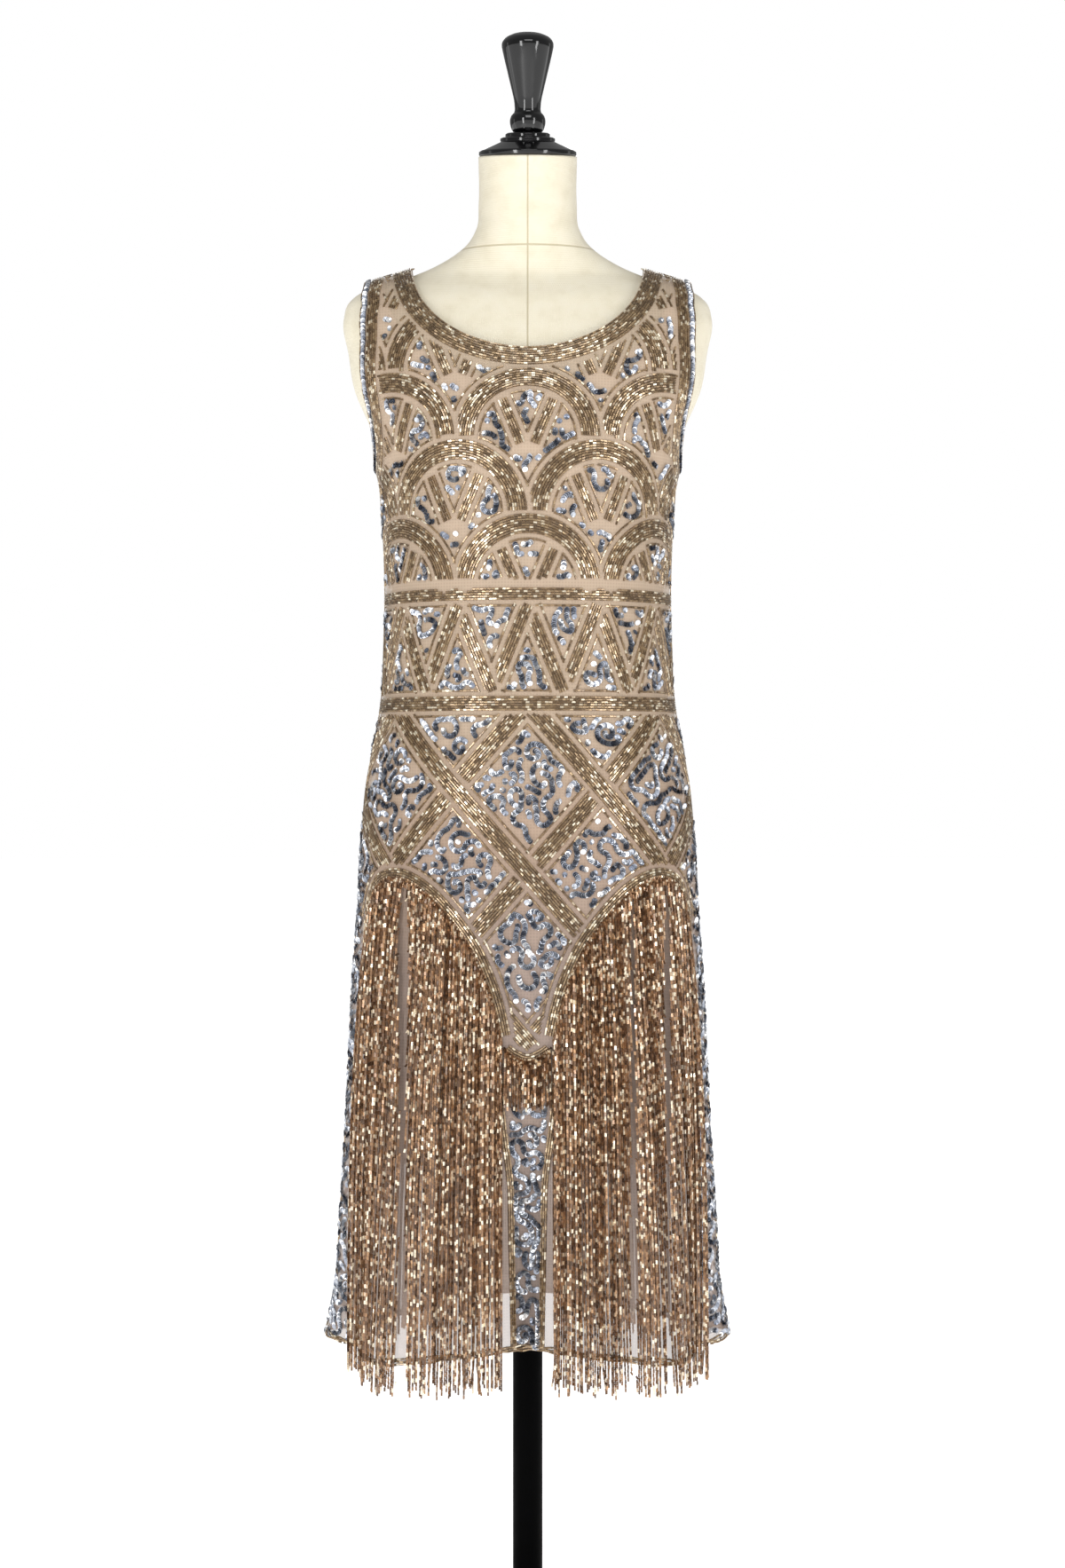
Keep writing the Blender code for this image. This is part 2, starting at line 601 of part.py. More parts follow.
def make_fringe(name, cloth, face, arch, x_from, x_to, strands, tip_z, ragged_by, spread, material):
    """A strip along the arch with strands of beads hanging from its lower edge, all one solid.

    The strip has two stations to a strand. A strand grows from the lower face between its own two
    stations, turns down just under the strip, and hangs straight to its tip.
    """
    arch_x = column(arch, ARCH_COLUMNS, "x")
    arch_z = column(arch, ARCH_COLUMNS, "z")
    stations = 2 * strands
    share_from = GOWN.share_at_x(0.80, x_from, face)
    share_to = GOWN.share_at_x(0.80, x_to, face)
    centres, normals = [], []
    for i in range(stations):
        x = GOWN.point(0.80, share_from + (share_to - share_from) * i / (stations - 1), face)[0]
        z = smooth_at(arch_x, arch_z, abs(x) if arch_x[0] > 0 else x)
        centre, normal = cloth.at(z, GOWN.share_at_x(z, x, face))
        centres.append(centre)
        normals.append(normal)
    centres, normals = np.array(centres), np.array(normals)
    along = np.gradient(centres, axis=0)
    along /= np.linalg.norm(along, axis=1)[:, None]
    below = np.cross(along, normals)
    below /= np.linalg.norm(below, axis=1)[:, None]
    if below[stations // 2][2] > 0:
        below = -below
    half_width, half_thick = STRIP_WIDTH / 2, STRIP_THICK / 2
    points = []
    for i, (normal, down) in enumerate(zip(normals, below)):
        lift = max(cloth.out_to(centres[i] + reach * down, normal, 0.03) for reach in (-half_width, 0, half_width))
        centres[i] += (lift + STRIP_SEAT + half_thick) * normal
        for off, drop in ((-1, -1), (1, -1), (1, 1), (-1, 1)):
            points.append(centres[i] + off * half_thick * normal + drop * half_width * down)
    faces = [(0, 1, 2, 3)]
    for i in range(stations - 1):
        a, b = 4 * i, 4 * (i + 1)
        for k in (0, 1, 3):
            following = (k + 1) % 4
            faces.append((a + k, b + k, b + following, a + following))
        root = (a + 2, b + 2, b + 3, a + 3)
        if i % 2:
            faces.append(root)
            continue
        normal = (normals[i] + normals[i + 1]) / 2
        level = np.array([normal[1], -normal[0], 0.0])
        level /= np.linalg.norm(level)
        if np.dot(level, centres[i + 1] - centres[i]) < 0:
            level = -level
        flat = normal * np.array([1.0, 1.0, 0.0])
        flat /= np.linalg.norm(flat)
        elbow = (centres[i] + centres[i + 1] + (half_width + STRAND_STEP_OUT) * (below[i] + below[i + 1])) / 2
        elbow[2] -= STRAND_DROP
        elbow += max(cloth.out_to(elbow, flat) + STRAND_CLEAR, 0.0) * flat
        tip, outward = strand_tip(cloth, elbow, tip_z + ragged_by * ragged(i // 2), spread)
        rings = [root]
        for end, facing in ((elbow, flat), (tip, outward)):
            first = len(points)
            for side, away in ((-1, 1), (1, 1), (1, -1), (-1, -1)):
                points.append(end + STRAND_THICK / 2 * (side * level + away * facing))
            rings.append(tuple(range(first, first + 4)))
        for upper, lower in zip(rings, rings[1:]):
            for k in range(4):
                following = (k + 1) % 4
                faces.append((upper[k], upper[following], lower[following], lower[k]))
        faces.append(rings[-1])
    last = 4 * (stations - 1)
    faces.append((last + 3, last + 2, last + 1, last))
    return make_object(name, points, faces, material)


def make_fringes(panels, material):
    for face, side_name in ((FRONT, "front"), (BACK, "back")):
        for side, end in (("left", -1), ("right", 1)):
            make_fringe(
                f"fringe_{side_name}_{side}", panels[face], face, FRINGE_ARCH,
                end * FRINGE_ARCH[0][0], end * FRINGE_ARCH[-1][0], ARCH_STRANDS,
                FRINGE_TIP_Z, FRINGE_RAGGED, FRINGE_SPREAD, material,
            )
        make_fringe(
            f"fringe_{side_name}_tier", panels[face], face, TIER_ARCH, TIER_ARCH[0][0], TIER_ARCH[-1][0],
            TIER_STRANDS, TIER_TIP_Z, TIER_RAGGED, 0.0, material,
        )


def main():
    clear_scene()
    net = make_material("beaded_net", (0.62, 0.43, 0.27), 0.55, 0.1)
    beads = make_material("bugle_beads", (0.36, 0.22, 0.12), 0.25, 0.6)
    lining = make_material("nude_lining", (0.80, 0.60, 0.44), 0.6, 0.0)
    canvas = make_material("form_canvas", (0.82, 0.77, 0.65), 0.85, 0.0)
    lacquer = make_material("black_lacquer", (0.008, 0.008, 0.010), 0.12, 0.0)
    enamel = make_material("black_enamel", (0.010, 0.010, 0.011), 0.35, 0.0)
    make_stand(canvas, lacquer, enamel)
    make_slip(lining)
    make_fringes(make_gown(net), beads)


main()
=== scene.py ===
"""Looks of the beaded evening gown on its dress form.

Metres, +Z up, front towards -Y. A place on the cloth is a height and a share of the way round: 0 on the
centre line, 1 at the right side seam and -1 at the left one. Beadwork is drawn on the flat cloth, in metres
across from the centre line and metres up.
"""
from __future__ import annotations

import logging
import math
from dataclasses import dataclass, field
from enum import Enum, IntEnum
from typing import Callable

import bpy
import numpy as np
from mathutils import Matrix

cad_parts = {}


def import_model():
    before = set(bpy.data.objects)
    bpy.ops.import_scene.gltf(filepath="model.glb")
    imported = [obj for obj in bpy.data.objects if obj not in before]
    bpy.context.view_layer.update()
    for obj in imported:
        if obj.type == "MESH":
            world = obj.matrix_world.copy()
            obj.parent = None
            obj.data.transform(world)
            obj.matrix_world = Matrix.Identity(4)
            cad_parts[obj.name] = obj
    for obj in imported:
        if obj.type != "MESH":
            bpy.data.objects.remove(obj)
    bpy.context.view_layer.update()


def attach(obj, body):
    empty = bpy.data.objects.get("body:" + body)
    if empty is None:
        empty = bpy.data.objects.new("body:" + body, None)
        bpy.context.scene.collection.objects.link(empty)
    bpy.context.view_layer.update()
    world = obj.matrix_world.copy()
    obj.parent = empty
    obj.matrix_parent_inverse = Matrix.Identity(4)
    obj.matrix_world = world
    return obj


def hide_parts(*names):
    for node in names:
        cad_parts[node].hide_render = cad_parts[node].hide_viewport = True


Array = np.ndarray
LOG = logging.getLogger("gown")
BODY = "root"


class Face(IntEnum):
    """The two sides of the gown. The value is the side's direction along Y."""

    FRONT = -1
    BACK = 1


class Side(IntEnum):
    """Left and right of the centre line, as the photo shows them."""

    LEFT = -1
    RIGHT = 1


class Slot(str, Enum):
    """The record's material slots."""

    NET = "beaded_net"
    LINING = "nude_lining"
    BEADS = "bugle_beads"
    CANVAS = "form_canvas"
    LACQUER = "black_lacquer"
    ENAMEL = "black_enamel"


# Sizes shared with the part's solids

HEM_Z, SLIP_HEM_Z = 0.361, 0.549
YOKE_Z = 1.270
ARMHOLE_LOW_Z, SHOULDER_TIP_Z = 1.272, 1.4530
HANG_Z, REST_Z = 1.215, 1.290
ARMHOLE_HALF_DEPTH, ARMHOLE_SQUARENESS = 0.055, 2.5
FORM_INSET, BASE_EDGE = 0.0026, 0.96
NECK_TILT = math.radians(11.0)
NECK_TOP_Z, NECK_STRAIGHTEN_Z = 1.594, 1.516
SEAT_GAP = 0.0003
FOLD_TOP_Z, FOLD_GROWTH = 0.875, 1.6
FAN_WIDTH, FAN_DEPTH = 0.19, 0.13
YOKE_QUARTER_LENGTH, EVENING_STEP = 0.24, 0.8
# How the yoke's columns crowd towards the neck's points, and its rows towards the shoulders
NECK_EASE, YOKE_EASE = 1.4, 1.75
# The cloth's lattice reaches past the hem and the neck's points
CLOTH_LOW_Z, CLOTH_HIGH_Z = 0.335, 1.4725
# The way up is measured along this column where the shoulders slope
SLOPE_COLUMN, SLOPE_LOW_Z = 0.9, 1.30
WALK_STEP, DIRECTION_REACH = 0.002, 0.001

# z, half width, front depth, back depth, squareness
FORM_OVALS = (
    (0.760, 0.150, 0.096, 0.112, 2.15),
    (0.860, 0.163, 0.104, 0.122, 2.15),
    (0.950, 0.157, 0.100, 0.114, 2.15),
    (1.080, 0.124, 0.086, 0.080, 2.10),
    (1.170, 0.134, 0.098, 0.086, 2.10),
    (1.255, 0.148, 0.119, 0.094, 2.15),
    (1.310, 0.167, 0.113, 0.098, 2.30),
    (1.350, 0.184, 0.102, 0.099, 2.40),
    (1.386, 0.190, 0.091, 0.096, 2.50),
    (1.4235, 0.195, 0.073, 0.084, 2.50),
    (1.440, 0.189, 0.063, 0.072, 2.40),
    (1.450, 0.176, 0.055, 0.063, 2.25),
    (1.4575, 0.156, 0.0495, 0.0565, 2.10),
    (1.464, 0.134, 0.046, 0.053, 2.00),
    (1.472, 0.112, 0.044, 0.051, 2.00),
    (1.484, 0.088, 0.043, 0.050, 2.00),
    (1.497, 0.070, 0.043, 0.0495, 2.00),
    (1.5165, 0.0570, 0.0445, 0.0495, 2.00),
    (1.545, 0.0540, 0.0465, 0.0500, 2.00),
    (1.594, 0.0542, 0.0520, 0.0520, 2.00),
)
GOWN_OVALS = (
    (0.361, 0.2110, 0.136, 0.180, 2.15),
    (0.414, 0.2000, 0.135, 0.174, 2.15),
    (0.480, 0.1955, 0.133, 0.166, 2.15),
    (0.563, 0.1900, 0.131, 0.156, 2.15),
    (0.656, 0.1850, 0.128, 0.146, 2.15),
    (0.730, 0.1815, 0.125, 0.139, 2.15),
    (0.805, 0.1760, 0.122, 0.134, 2.15),
    (0.880, 0.1720, 0.120, 0.131, 2.15),
    (0.935, 0.1670, 0.118, 0.125, 2.15),
    (0.975, 0.1600, 0.117, 0.119, 2.15),
    (1.012, 0.1530, 0.117, 0.112, 2.15),
    (1.083, 0.1485, 0.118, 0.106, 2.15),
    (1.170, 0.1480, 0.121, 0.103, 2.15),
    (1.214, 0.1505, 0.1225, 0.102, 2.15),
    (1.251, 0.1545, 0.123, 0.102, 2.25),
    (1.290, 0.1640, 0.119, 0.105, 2.30),
)
SLIP_OVALS = (
    (0.549, 0.1700, 0.097, 0.127, 2.15),
    (0.650, 0.1710, 0.104, 0.127, 2.15),
    (0.750, 0.1710, 0.110, 0.128, 2.15),
    (0.860, 0.1660, 0.1095, 0.1265, 2.15),
    (0.950, 0.1580, 0.1075, 0.1165, 2.15),
    (1.012, 0.1475, 0.1060, 0.1050, 2.15),
    (1.083, 0.1430, 0.108, 0.099, 2.15),
    (1.170, 0.1420, 0.112, 0.097, 2.15),
    (1.214, 0.1445, 0.117, 0.097, 2.15),
    (1.251, 0.1495, 0.1195, 0.098, 2.25),
    (1.290, 0.1600, 0.1165, 0.101, 2.30),
)
# face, share, spread in shares, how far the hem moves out there
SKIRT_FOLDS = (
    (Face.FRONT, 0.00, 0.17, -0.052),
    (Face.FRONT, 0.44, 0.15, 0.020),
    (Face.FRONT, 0.76, 0.11, -0.030),
    (Face.BACK, 0.78, 0.12, -0.030),
    (Face.BACK, 0.46, 0.13, -0.016),
    (Face.BACK, 0.00, 0.24, 0.016),
)
# The hip arch that the fringe hangs from, as distance from the centre line and height
HIP_ARCH = np.array((
    (0.027, 0.684), (0.033, 0.712), (0.041, 0.738), (0.054, 0.768), (0.068, 0.790), (0.085, 0.811),
    (0.100, 0.826), (0.118, 0.838), (0.135, 0.842), (0.150, 0.836), (0.159, 0.820), (0.1635, 0.797),
))
TIER_ARCH = np.array(((-0.024, 0.672), (-0.012, 0.664), (0.0, 0.660), (0.012, 0.664), (0.024, 0.672)))

# Turned profiles as radius and height above the neck's top
CAP_PROFILE = np.array((
    (0.0000, 0.0000), (0.0500, 0.0000), (0.0515, 0.0012), (0.0515, 0.0050), (0.0500, 0.0064),
    (0.0290, 0.0158), (0.0290, 0.0192), (0.0275, 0.0202), (0.0236, 0.0207), (0.0236, 0.0238),
    (0.0222, 0.0250), (0.0000, 0.0250),
))
FINIAL_PROFILE = np.array((
    (0.0000, 0.0253), (0.0150, 0.0253), (0.0172, 0.0290), (0.0188, 0.0345), (0.0188, 0.0395),
    (0.0172, 0.0440), (0.0142, 0.0468), (0.0136, 0.0500), (0.0142, 0.0590), (0.0196, 0.0820),
    (0.0250, 0.1045), (0.0274, 0.1160), (0.0268, 0.1208), (0.0225, 0.1258), (0.0130, 0.1300),
    (0.0000, 0.1313),
))
FOOT_PROFILE = np.array((
    (0.0000, 0.0000), (0.2020, 0.0000), (0.2060, 0.0040), (0.2060, 0.0120), (0.2020, 0.0170),
    (0.1500, 0.0285), (0.1000, 0.0385), (0.0600, 0.0455), (0.0300, 0.0500), (0.0250, 0.0520),
    (0.0000, 0.0520),
))
POLE_RADIUS, POLE_LOW_Z, POLE_TOP_Z = 0.0155, 0.0523, 0.7597


# Small numeric helpers


def smooth_step(low: float, high: float, at: Array) -> Array:
    """Rises from 0 at low to 1 at high as 3t^2 - 2t^3."""
    t = np.clip((at - low) / (high - low), 0.0, 1.0)
    return t * t * (3 - 2 * t)


def hermite(places: Array, values: Array, at: Array) -> Array:
    """A smooth curve through a table.

    Between two entries it is the cubic with their values and with the slopes of the table there; past the
    ends it holds its last value.

    Args:
        places: where the entries stand, rising.
        values: the entries.
        at: where to read the curve.

    Returns:
        The curve's values, shaped as `at`.
    """
    at = np.clip(at, places[0], places[-1])
    i = np.clip(np.searchsorted(places, at) - 1, 0, len(places) - 2)
    slopes = np.gradient(values, places)
    width = places[i + 1] - places[i]
    t = (at - places[i]) / width
    rise = 3 * t**2 - 2 * t**3
    return (
        values[i] * (1 - rise) + values[i + 1] * rise
        + slopes[i] * width * (t - 2 * t**2 + t**3) + slopes[i + 1] * width * (t**3 - t**2)
    )


def unit(vectors: Array) -> Array:
    """The vectors at length 1."""
    return vectors / np.maximum(np.linalg.norm(vectors, axis=-1, keepdims=True), 1e-12)


def linear(hex_colour: str) -> tuple[float, float, float, float]:
    """A colour written as sRGB hex, as linear values.

    Args:
        hex_colour: such as "#8b6f4e".

    Returns:
        Red, green, blue and an alpha of 1.
    """
    parts = [int(hex_colour[i : i + 2], 16) / 255 for i in (1, 3, 5)]
    red, green, blue = (c / 12.92 if c <= 0.04045 else ((c + 0.055) / 1.055) ** 2.4 for c in parts)
    return (red, green, blue, 1.0)


def grid_faces(rows: int, columns: int, closed: bool = False) -> Array:
    """Quads of a grid of points, row by row, whose columns may close into a ring."""
    across = columns if closed else columns - 1
    j, i = np.meshgrid(np.arange(rows - 1), np.arange(across), indexing="ij")
    a, b = j * columns + i, j * columns + (i + 1) % columns
    return np.stack([a, b, b + columns, a + columns], axis=-1).reshape(-1, 4)


def add_piece(
    name: str,
    points: Array,
    faces: Array,
    material: bpy.types.Material,
    smooth: bool = True,
    tone_and_glint: Array | None = None,
    flat_map: Array | None = None,
) -> bpy.types.Object:
    """Makes one mesh object from arrays and lets it ride on the part.

    Args:
        name: the piece's name.
        points: its vertices, one row each.
        faces: its faces, all with as many corners.
        material: its finish.
        smooth: whether faces are shaded smooth.
        tone_and_glint: one number a vertex, kept as the attribute "tint".
        flat_map: flat coordinates of each vertex in metres, kept as the UV map.

    Returns:
        The new object.
    """
    mesh = bpy.data.meshes.new(name)
    corners = faces.shape[1]
    mesh.vertices.add(len(points))
    mesh.vertices.foreach_set("co", np.ascontiguousarray(points, np.float32).ravel())
    mesh.loops.add(faces.size)
    mesh.loops.foreach_set("vertex_index", faces.astype(np.int32).ravel())
    mesh.polygons.add(len(faces))
    mesh.polygons.foreach_set("loop_start", np.arange(len(faces), dtype=np.int32) * corners)
    mesh.update(calc_edges=True)
    mesh.polygons.foreach_set("use_smooth", np.full(len(faces), smooth))
    if tone_and_glint is not None:
        layer = mesh.attributes.new("tone_and_glint", "FLOAT", "POINT")
        layer.data.foreach_set("value", tone_and_glint.astype(np.float32))
    if flat_map is not None:
        uv = mesh.uv_layers.new(name="flat")
        uv.data.foreach_set("uv", flat_map[faces.ravel()].astype(np.float32).ravel())
    mesh.materials.append(material)
    mesh.validate()
    made = bpy.data.objects.new(name, mesh)
    bpy.context.scene.collection.objects.link(made)
    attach(made, BODY)
    LOG.info("%s: %d triangles", name, len(faces) * (corners - 2))
    return made


# Surfaces


class OvalStack:
    """A stack of rounded oval sections, read smoothly at any height."""

    STEPS = 241

    def __init__(self, table: tuple[tuple[float, ...], ...]) -> None:
        """Keeps the table's columns."""
        self.heights, self.half_width, self.front, self.back, self.squareness = np.array(table, float).T

    def quarter(self, z: float, face: Face) -> tuple[Array, Array, Array]:
        """One quarter of a section from its centre line to its side.

        Across it is half_width times sine^p of an angle, deep it is depth times cosine^p, with p two over
        the squareness.

        Args:
            z: the section's height.
            face: front or back.

        Returns:
            x, y and share of the quarter's length, each from the centre line.
        """
        angle = np.linspace(0, math.pi / 2, self.STEPS)
        at = np.array(z)
        power = 2 / hermite(self.heights, self.squareness, at)
        x = hermite(self.heights, self.half_width, at) * np.sin(angle) ** power
        deep = self.front if face == Face.FRONT else self.back
        y = face * hermite(self.heights, deep, at) * np.clip(np.cos(angle), 0, 1) ** power
        length = np.concatenate([[0], np.cumsum(np.hypot(np.diff(x), np.diff(y)))])
        return x, y, length / length[-1]

    def share_at_x(self, z: float, x: float, face: Face) -> float:
        """The share at which a section is that far from the centre line."""
        xs, _, shares = self.quarter(z, face)
        return math.copysign(float(np.interp(abs(x), xs, shares)), x)

    def share_at_depth(self, z: float, depth: float, face: Face) -> float:
        """The share at which a section's side is that far from the seam's plane."""
        _, ys, shares = self.quarter(z, face)
        return float(np.interp(depth, np.abs(ys)[::-1], shares[::-1]))

    def lattice(self, heights: Array, shares: Array, face: Face) -> Array:
        """Points of the stack at each height and share, shaped (heights, shares, 3)."""
        rows = []
        for z in heights:
            x, y, known = self.quarter(z, face)
            reach = np.minimum(np.abs(shares), 1.0)
            across = np.sign(shares) * np.interp(reach, known, x)
            rows.append(np.stack([across, np.interp(reach, known, y), np.full_like(shares, z)], axis=-1))
        return np.array(rows)


FORM, NET_HANG, SLIP_HANG = (OvalStack(table) for table in (FORM_OVALS, GOWN_OVALS, SLIP_OVALS))


def lattice_normals(points: Array, face: Face) -> Array:
    """Outward normals of a lattice: its two slopes crossed. On the side seams they lie across."""
    across, up = np.gradient(points, axis=1), np.gradient(points, axis=0)
    normals = unit(np.cross(across, up) * (-face))
    normals[:, [0, -1], 1] = 0.0
    return unit(normals)


class ClothSurface:
    """One panel's face as a fine lattice that is read between its points."""

    STEP_Z = 0.001
    COLUMNS = 401

    def __init__(self, ovals: OvalStack, rest: float, folds: bool, face: Face) -> None:
        """Works the lattice out.

        The cloth rests a constant way off the form from the bust up. Below it hangs on its own ovals, moved
        out by the folds, each a bell curve across that grows as the 1.6th power of the way down.

        Args:
            ovals: the sections of the free-hanging part.
            rest: how far off the form the cloth lies.
            folds: whether the skirt's folds move it.
            face: front or back.
        """
        self.face = face
        self.heights = np.arange(CLOTH_LOW_Z, CLOTH_HIGH_Z, self.STEP_Z)
        self.shares = np.linspace(-1, 1, self.COLUMNS)
        on_form = smooth_step(HANG_Z, REST_Z, self.heights)[:, None, None]
        lying = FORM.lattice(self.heights, self.shares, face)
        lying = lying + rest * lattice_normals(lying, face)
        hanging = ovals.lattice(self.heights, self.shares, face)
        if folds:
            down = np.clip((FOLD_TOP_Z - self.heights) / (FOLD_TOP_Z - HEM_Z), 0, None) ** FOLD_GROWTH
            out = np.zeros_like(self.shares)
            for fold_face, centre, spread, move in SKIRT_FOLDS:
                if fold_face == face:
                    out = out + move * np.exp(-(((np.abs(self.shares) - centre) / spread) ** 2))
            hanging = hanging + (down[:, None] * out[None, :])[..., None] * lattice_normals(hanging, face)
        self.points = on_form * lying + (1 - on_form) * hanging
        self.normals = lattice_normals(self.points, face)
        self.across = np.gradient(self.points, self.shares, axis=1)
        self.up = np.gradient(self.points, self.heights, axis=0)
        steps = np.linalg.norm(np.diff(self.points, axis=1), axis=2)
        self.half_length = steps[:, self.COLUMNS // 2 :].sum(axis=1)
        climb = np.linalg.norm(self.up[:, int(self.COLUMNS * SLOPE_COLUMN)], axis=1)
        climb = np.where(self.heights < SLOPE_LOW_Z, 1.0, climb)
        self.up_length = self.heights[0] + np.concatenate([[0], np.cumsum(climb[1:] * self.STEP_Z)])

    def read(self, lattice: Array, share: Array, z: Array) -> Array:
        """Reads a lattice between its four nearest points."""
        j = np.clip((z - self.heights[0]) / self.STEP_Z, 0, len(self.heights) - 1.001)
        i = np.clip((share + 1) / 2 * (self.COLUMNS - 1), 0, self.COLUMNS - 1.001)
        j0, i0 = j.astype(int), i.astype(int)
        v, u = (j - j0)[..., None], (i - i0)[..., None]
        low = (1 - u) * lattice[j0, i0] + u * lattice[j0, i0 + 1]
        high = (1 - u) * lattice[j0 + 1, i0] + u * lattice[j0 + 1, i0 + 1]
        return (1 - v) * low + v * high

    def place(self, share: Array, z: Array, lift: float = 0.0) -> Array:
        """Points on the cloth, lifted off it along its normal."""
        return self.read(self.points, share, z) + lift * self.normal(share, z)

    def normal(self, share: Array, z: Array) -> Array:
        """Outward normals."""
        return unit(self.read(self.normals, share, z))

    def to_cloth(self, flat: Array) -> Array:
        """Flat places, as metres across and metres up, as share and height."""
        z = np.interp(flat[..., 1], self.up_length, self.heights)
        return np.stack([flat[..., 0] / np.interp(z, self.heights, self.half_length), z], axis=-1)

    def to_flat(self, cloth: Array) -> Array:
        """Share and height as metres across and metres up on the flat cloth."""
        z = cloth[..., 1]
        across = cloth[..., 0] * np.interp(z, self.heights, self.half_length)
        return np.stack([across, np.interp(z, self.heights, self.up_length)], axis=-1)

    def beside(self, cloth: Array, distance: float) -> Array:
        """A line on the cloth that runs beside another one.

        Each point moves along the surface, square to the line, in steps of at most 2 mm. A step is solved in
        the surface's own two slopes.

        Args:
            cloth: the line's points as share and height.
            distance: how far to its left, seen from outside along its direction.

        Returns:
            The moved line.
        """
        steps = max(int(math.ceil(abs(distance) / WALK_STEP)), 1)
        line = cloth.copy()
        for _ in range(steps if distance else 0):
            share, z = line.T
            along = unit(np.gradient(self.read(self.points, share, z), axis=0))
            left = unit(np.cross(self.normal(share, z), along)) * (distance / steps)
            across, up = self.read(self.across, share, z), self.read(self.up, share, z)
            aa, au, uu = (across**2).sum(1), (across * up).sum(1), (up**2).sum(1)
            la, lu = (left * across).sum(1), (left * up).sum(1)
            solved = aa * uu - au**2
            line = line + np.stack([(la * uu - lu * au) / solved, (lu * aa - la * au) / solved], axis=1)
        return line

    def spaced(self, cloth: Array, pitch: float) -> tuple[Array, Array]:
        """Evenly spaced places along a line on the cloth.

        Args:
            cloth: the line's points as share and height.
            pitch: distance from one place to the next.

        Returns:
            The places as share and height, and the unit direction of the line at each.
        """
        points = self.place(cloth[:, 0], cloth[:, 1])
        length = np.concatenate([[0], np.cumsum(np.linalg.norm(np.diff(points, axis=0), axis=1))])
        count = int(length[-1] / pitch)
        if count < 1:
            return np.zeros((0, 2)), np.zeros((0, 3))
        at = (np.arange(count) + 0.5) * (length[-1] / count)
        found = np.stack([np.interp(at, length, cloth[:, k]) for k in (0, 1)], axis=1)
        before, after = (
            np.stack([np.interp(at + reach, length, points[:, k]) for k in range(3)], axis=1)
            for reach in (-DIRECTION_REACH, DIRECTION_REACH)
        )
        return found, unit(after - before)


# Edges of the cloth


@dataclass(frozen=True)
class NeckCut:
    """The neck's oval, seen from the front: half width, height of its points, and drop on each face."""

    half_width: float
    point_z: float
    front_drop: float
    back_drop: float

    def drop(self, face: Face) -> float:
        """How far the neck drops below its points on that face."""
        return self.front_drop if face == Face.FRONT else self.back_drop

    def edge(self, face: Face, count: int = 160) -> Array:
        """The neck's edge from the left neck point to the right one, as share and height."""
        turn = math.pi / 2 * (1 - np.linspace(1, 0, count // 2) ** NECK_EASE)
        half = []
        for angle in turn:
            z = self.point_z - self.drop(face) * math.cos(angle)
            half.append((FORM.share_at_x(z, self.half_width * math.sin(angle), face), z))
        half[-1] = (1.0, self.point_z)
        right = np.array(half)
        return np.concatenate([right[:0:-1] * [-1, 1], right])

    def outside(self, x: Array, z: Array, face: Face) -> Array:
        """Whether places seen from the front lie outside the oval."""
        return (x / self.half_width) ** 2 + ((self.point_z - z) / self.drop(face)) ** 2 >= 1


GOWN_NECK = NeckCut(0.1185, 1.4700, 0.093, 0.050)
SLIP_NECK = NeckCut(0.148, 1.4600, 0.119, 0.074)


def armhole_share(z: float, face: Face) -> float:
    """The armhole's edge, a squarish oval seen from the side, as a share at that height."""
    middle, half = (ARMHOLE_LOW_Z + SHOULDER_TIP_Z) / 2, (SHOULDER_TIP_Z - ARMHOLE_LOW_Z) / 2
    inside = 1 - abs((z - middle) / half) ** ARMHOLE_SQUARENESS
    if inside <= 0:
        return 1.0
    return FORM.share_at_depth(z, ARMHOLE_HALF_DEPTH * inside ** (1 / ARMHOLE_SQUARENESS), face)


def armhole_edge(face: Face, side: Side, count: int = 120) -> Array:
    """The armhole's edge from its lowest point to the shoulder's tip, as share and height."""
    t = np.linspace(0, math.pi, count)
    z = ARMHOLE_LOW_Z + (SHOULDER_TIP_Z - ARMHOLE_LOW_Z) * (1 - np.cos(t)) / 2
    return np.array([(side * armhole_share(h, face), h) for h in z])


def evened(share: Array, z: Array, rounds: int) -> tuple[Array, Array]:
    """Moves a patch's inner points until its lines run smoothly and no cell folds over; its edges stay.

    In every round each point moves towards a weighted mean: its two neighbours along a line count as much
    as the line that crosses there is stretched, less twice the mix of both directions. These are the
    equations of a smooth curved grid.

    Args:
        share: the points' shares, row by row.
        z: their heights.
        rounds: how often they are moved.

    Returns:
        The moved shares and heights.
    """
    x, y = share * YOKE_QUARTER_LENGTH, z.copy()
    for _ in range(rounds):
        across = [(p[1:-1, 2:] - p[1:-1, :-2]) / 2 for p in (x, y)]
        upward = [(p[2:, 1:-1] - p[:-2, 1:-1]) / 2 for p in (x, y)]
        up_stretch = upward[0] ** 2 + upward[1] ** 2
        across_stretch = across[0] ** 2 + across[1] ** 2
        mix = across[0] * upward[0] + across[1] * upward[1]
        for p in (x, y):
            twist = (p[2:, 2:] - p[2:, :-2] - p[:-2, 2:] + p[:-2, :-2]) / 4
            beside = up_stretch * (p[1:-1, 2:] + p[1:-1, :-2])
            above = across_stretch * (p[2:, 1:-1] + p[:-2, 1:-1])
            mean = (beside + above - 2 * mix * twist) / (2 * (up_stretch + across_stretch))
            p[1:-1, 1:-1] += EVENING_STEP * (mean - p[1:-1, 1:-1])
    return x / YOKE_QUARTER_LENGTH, y


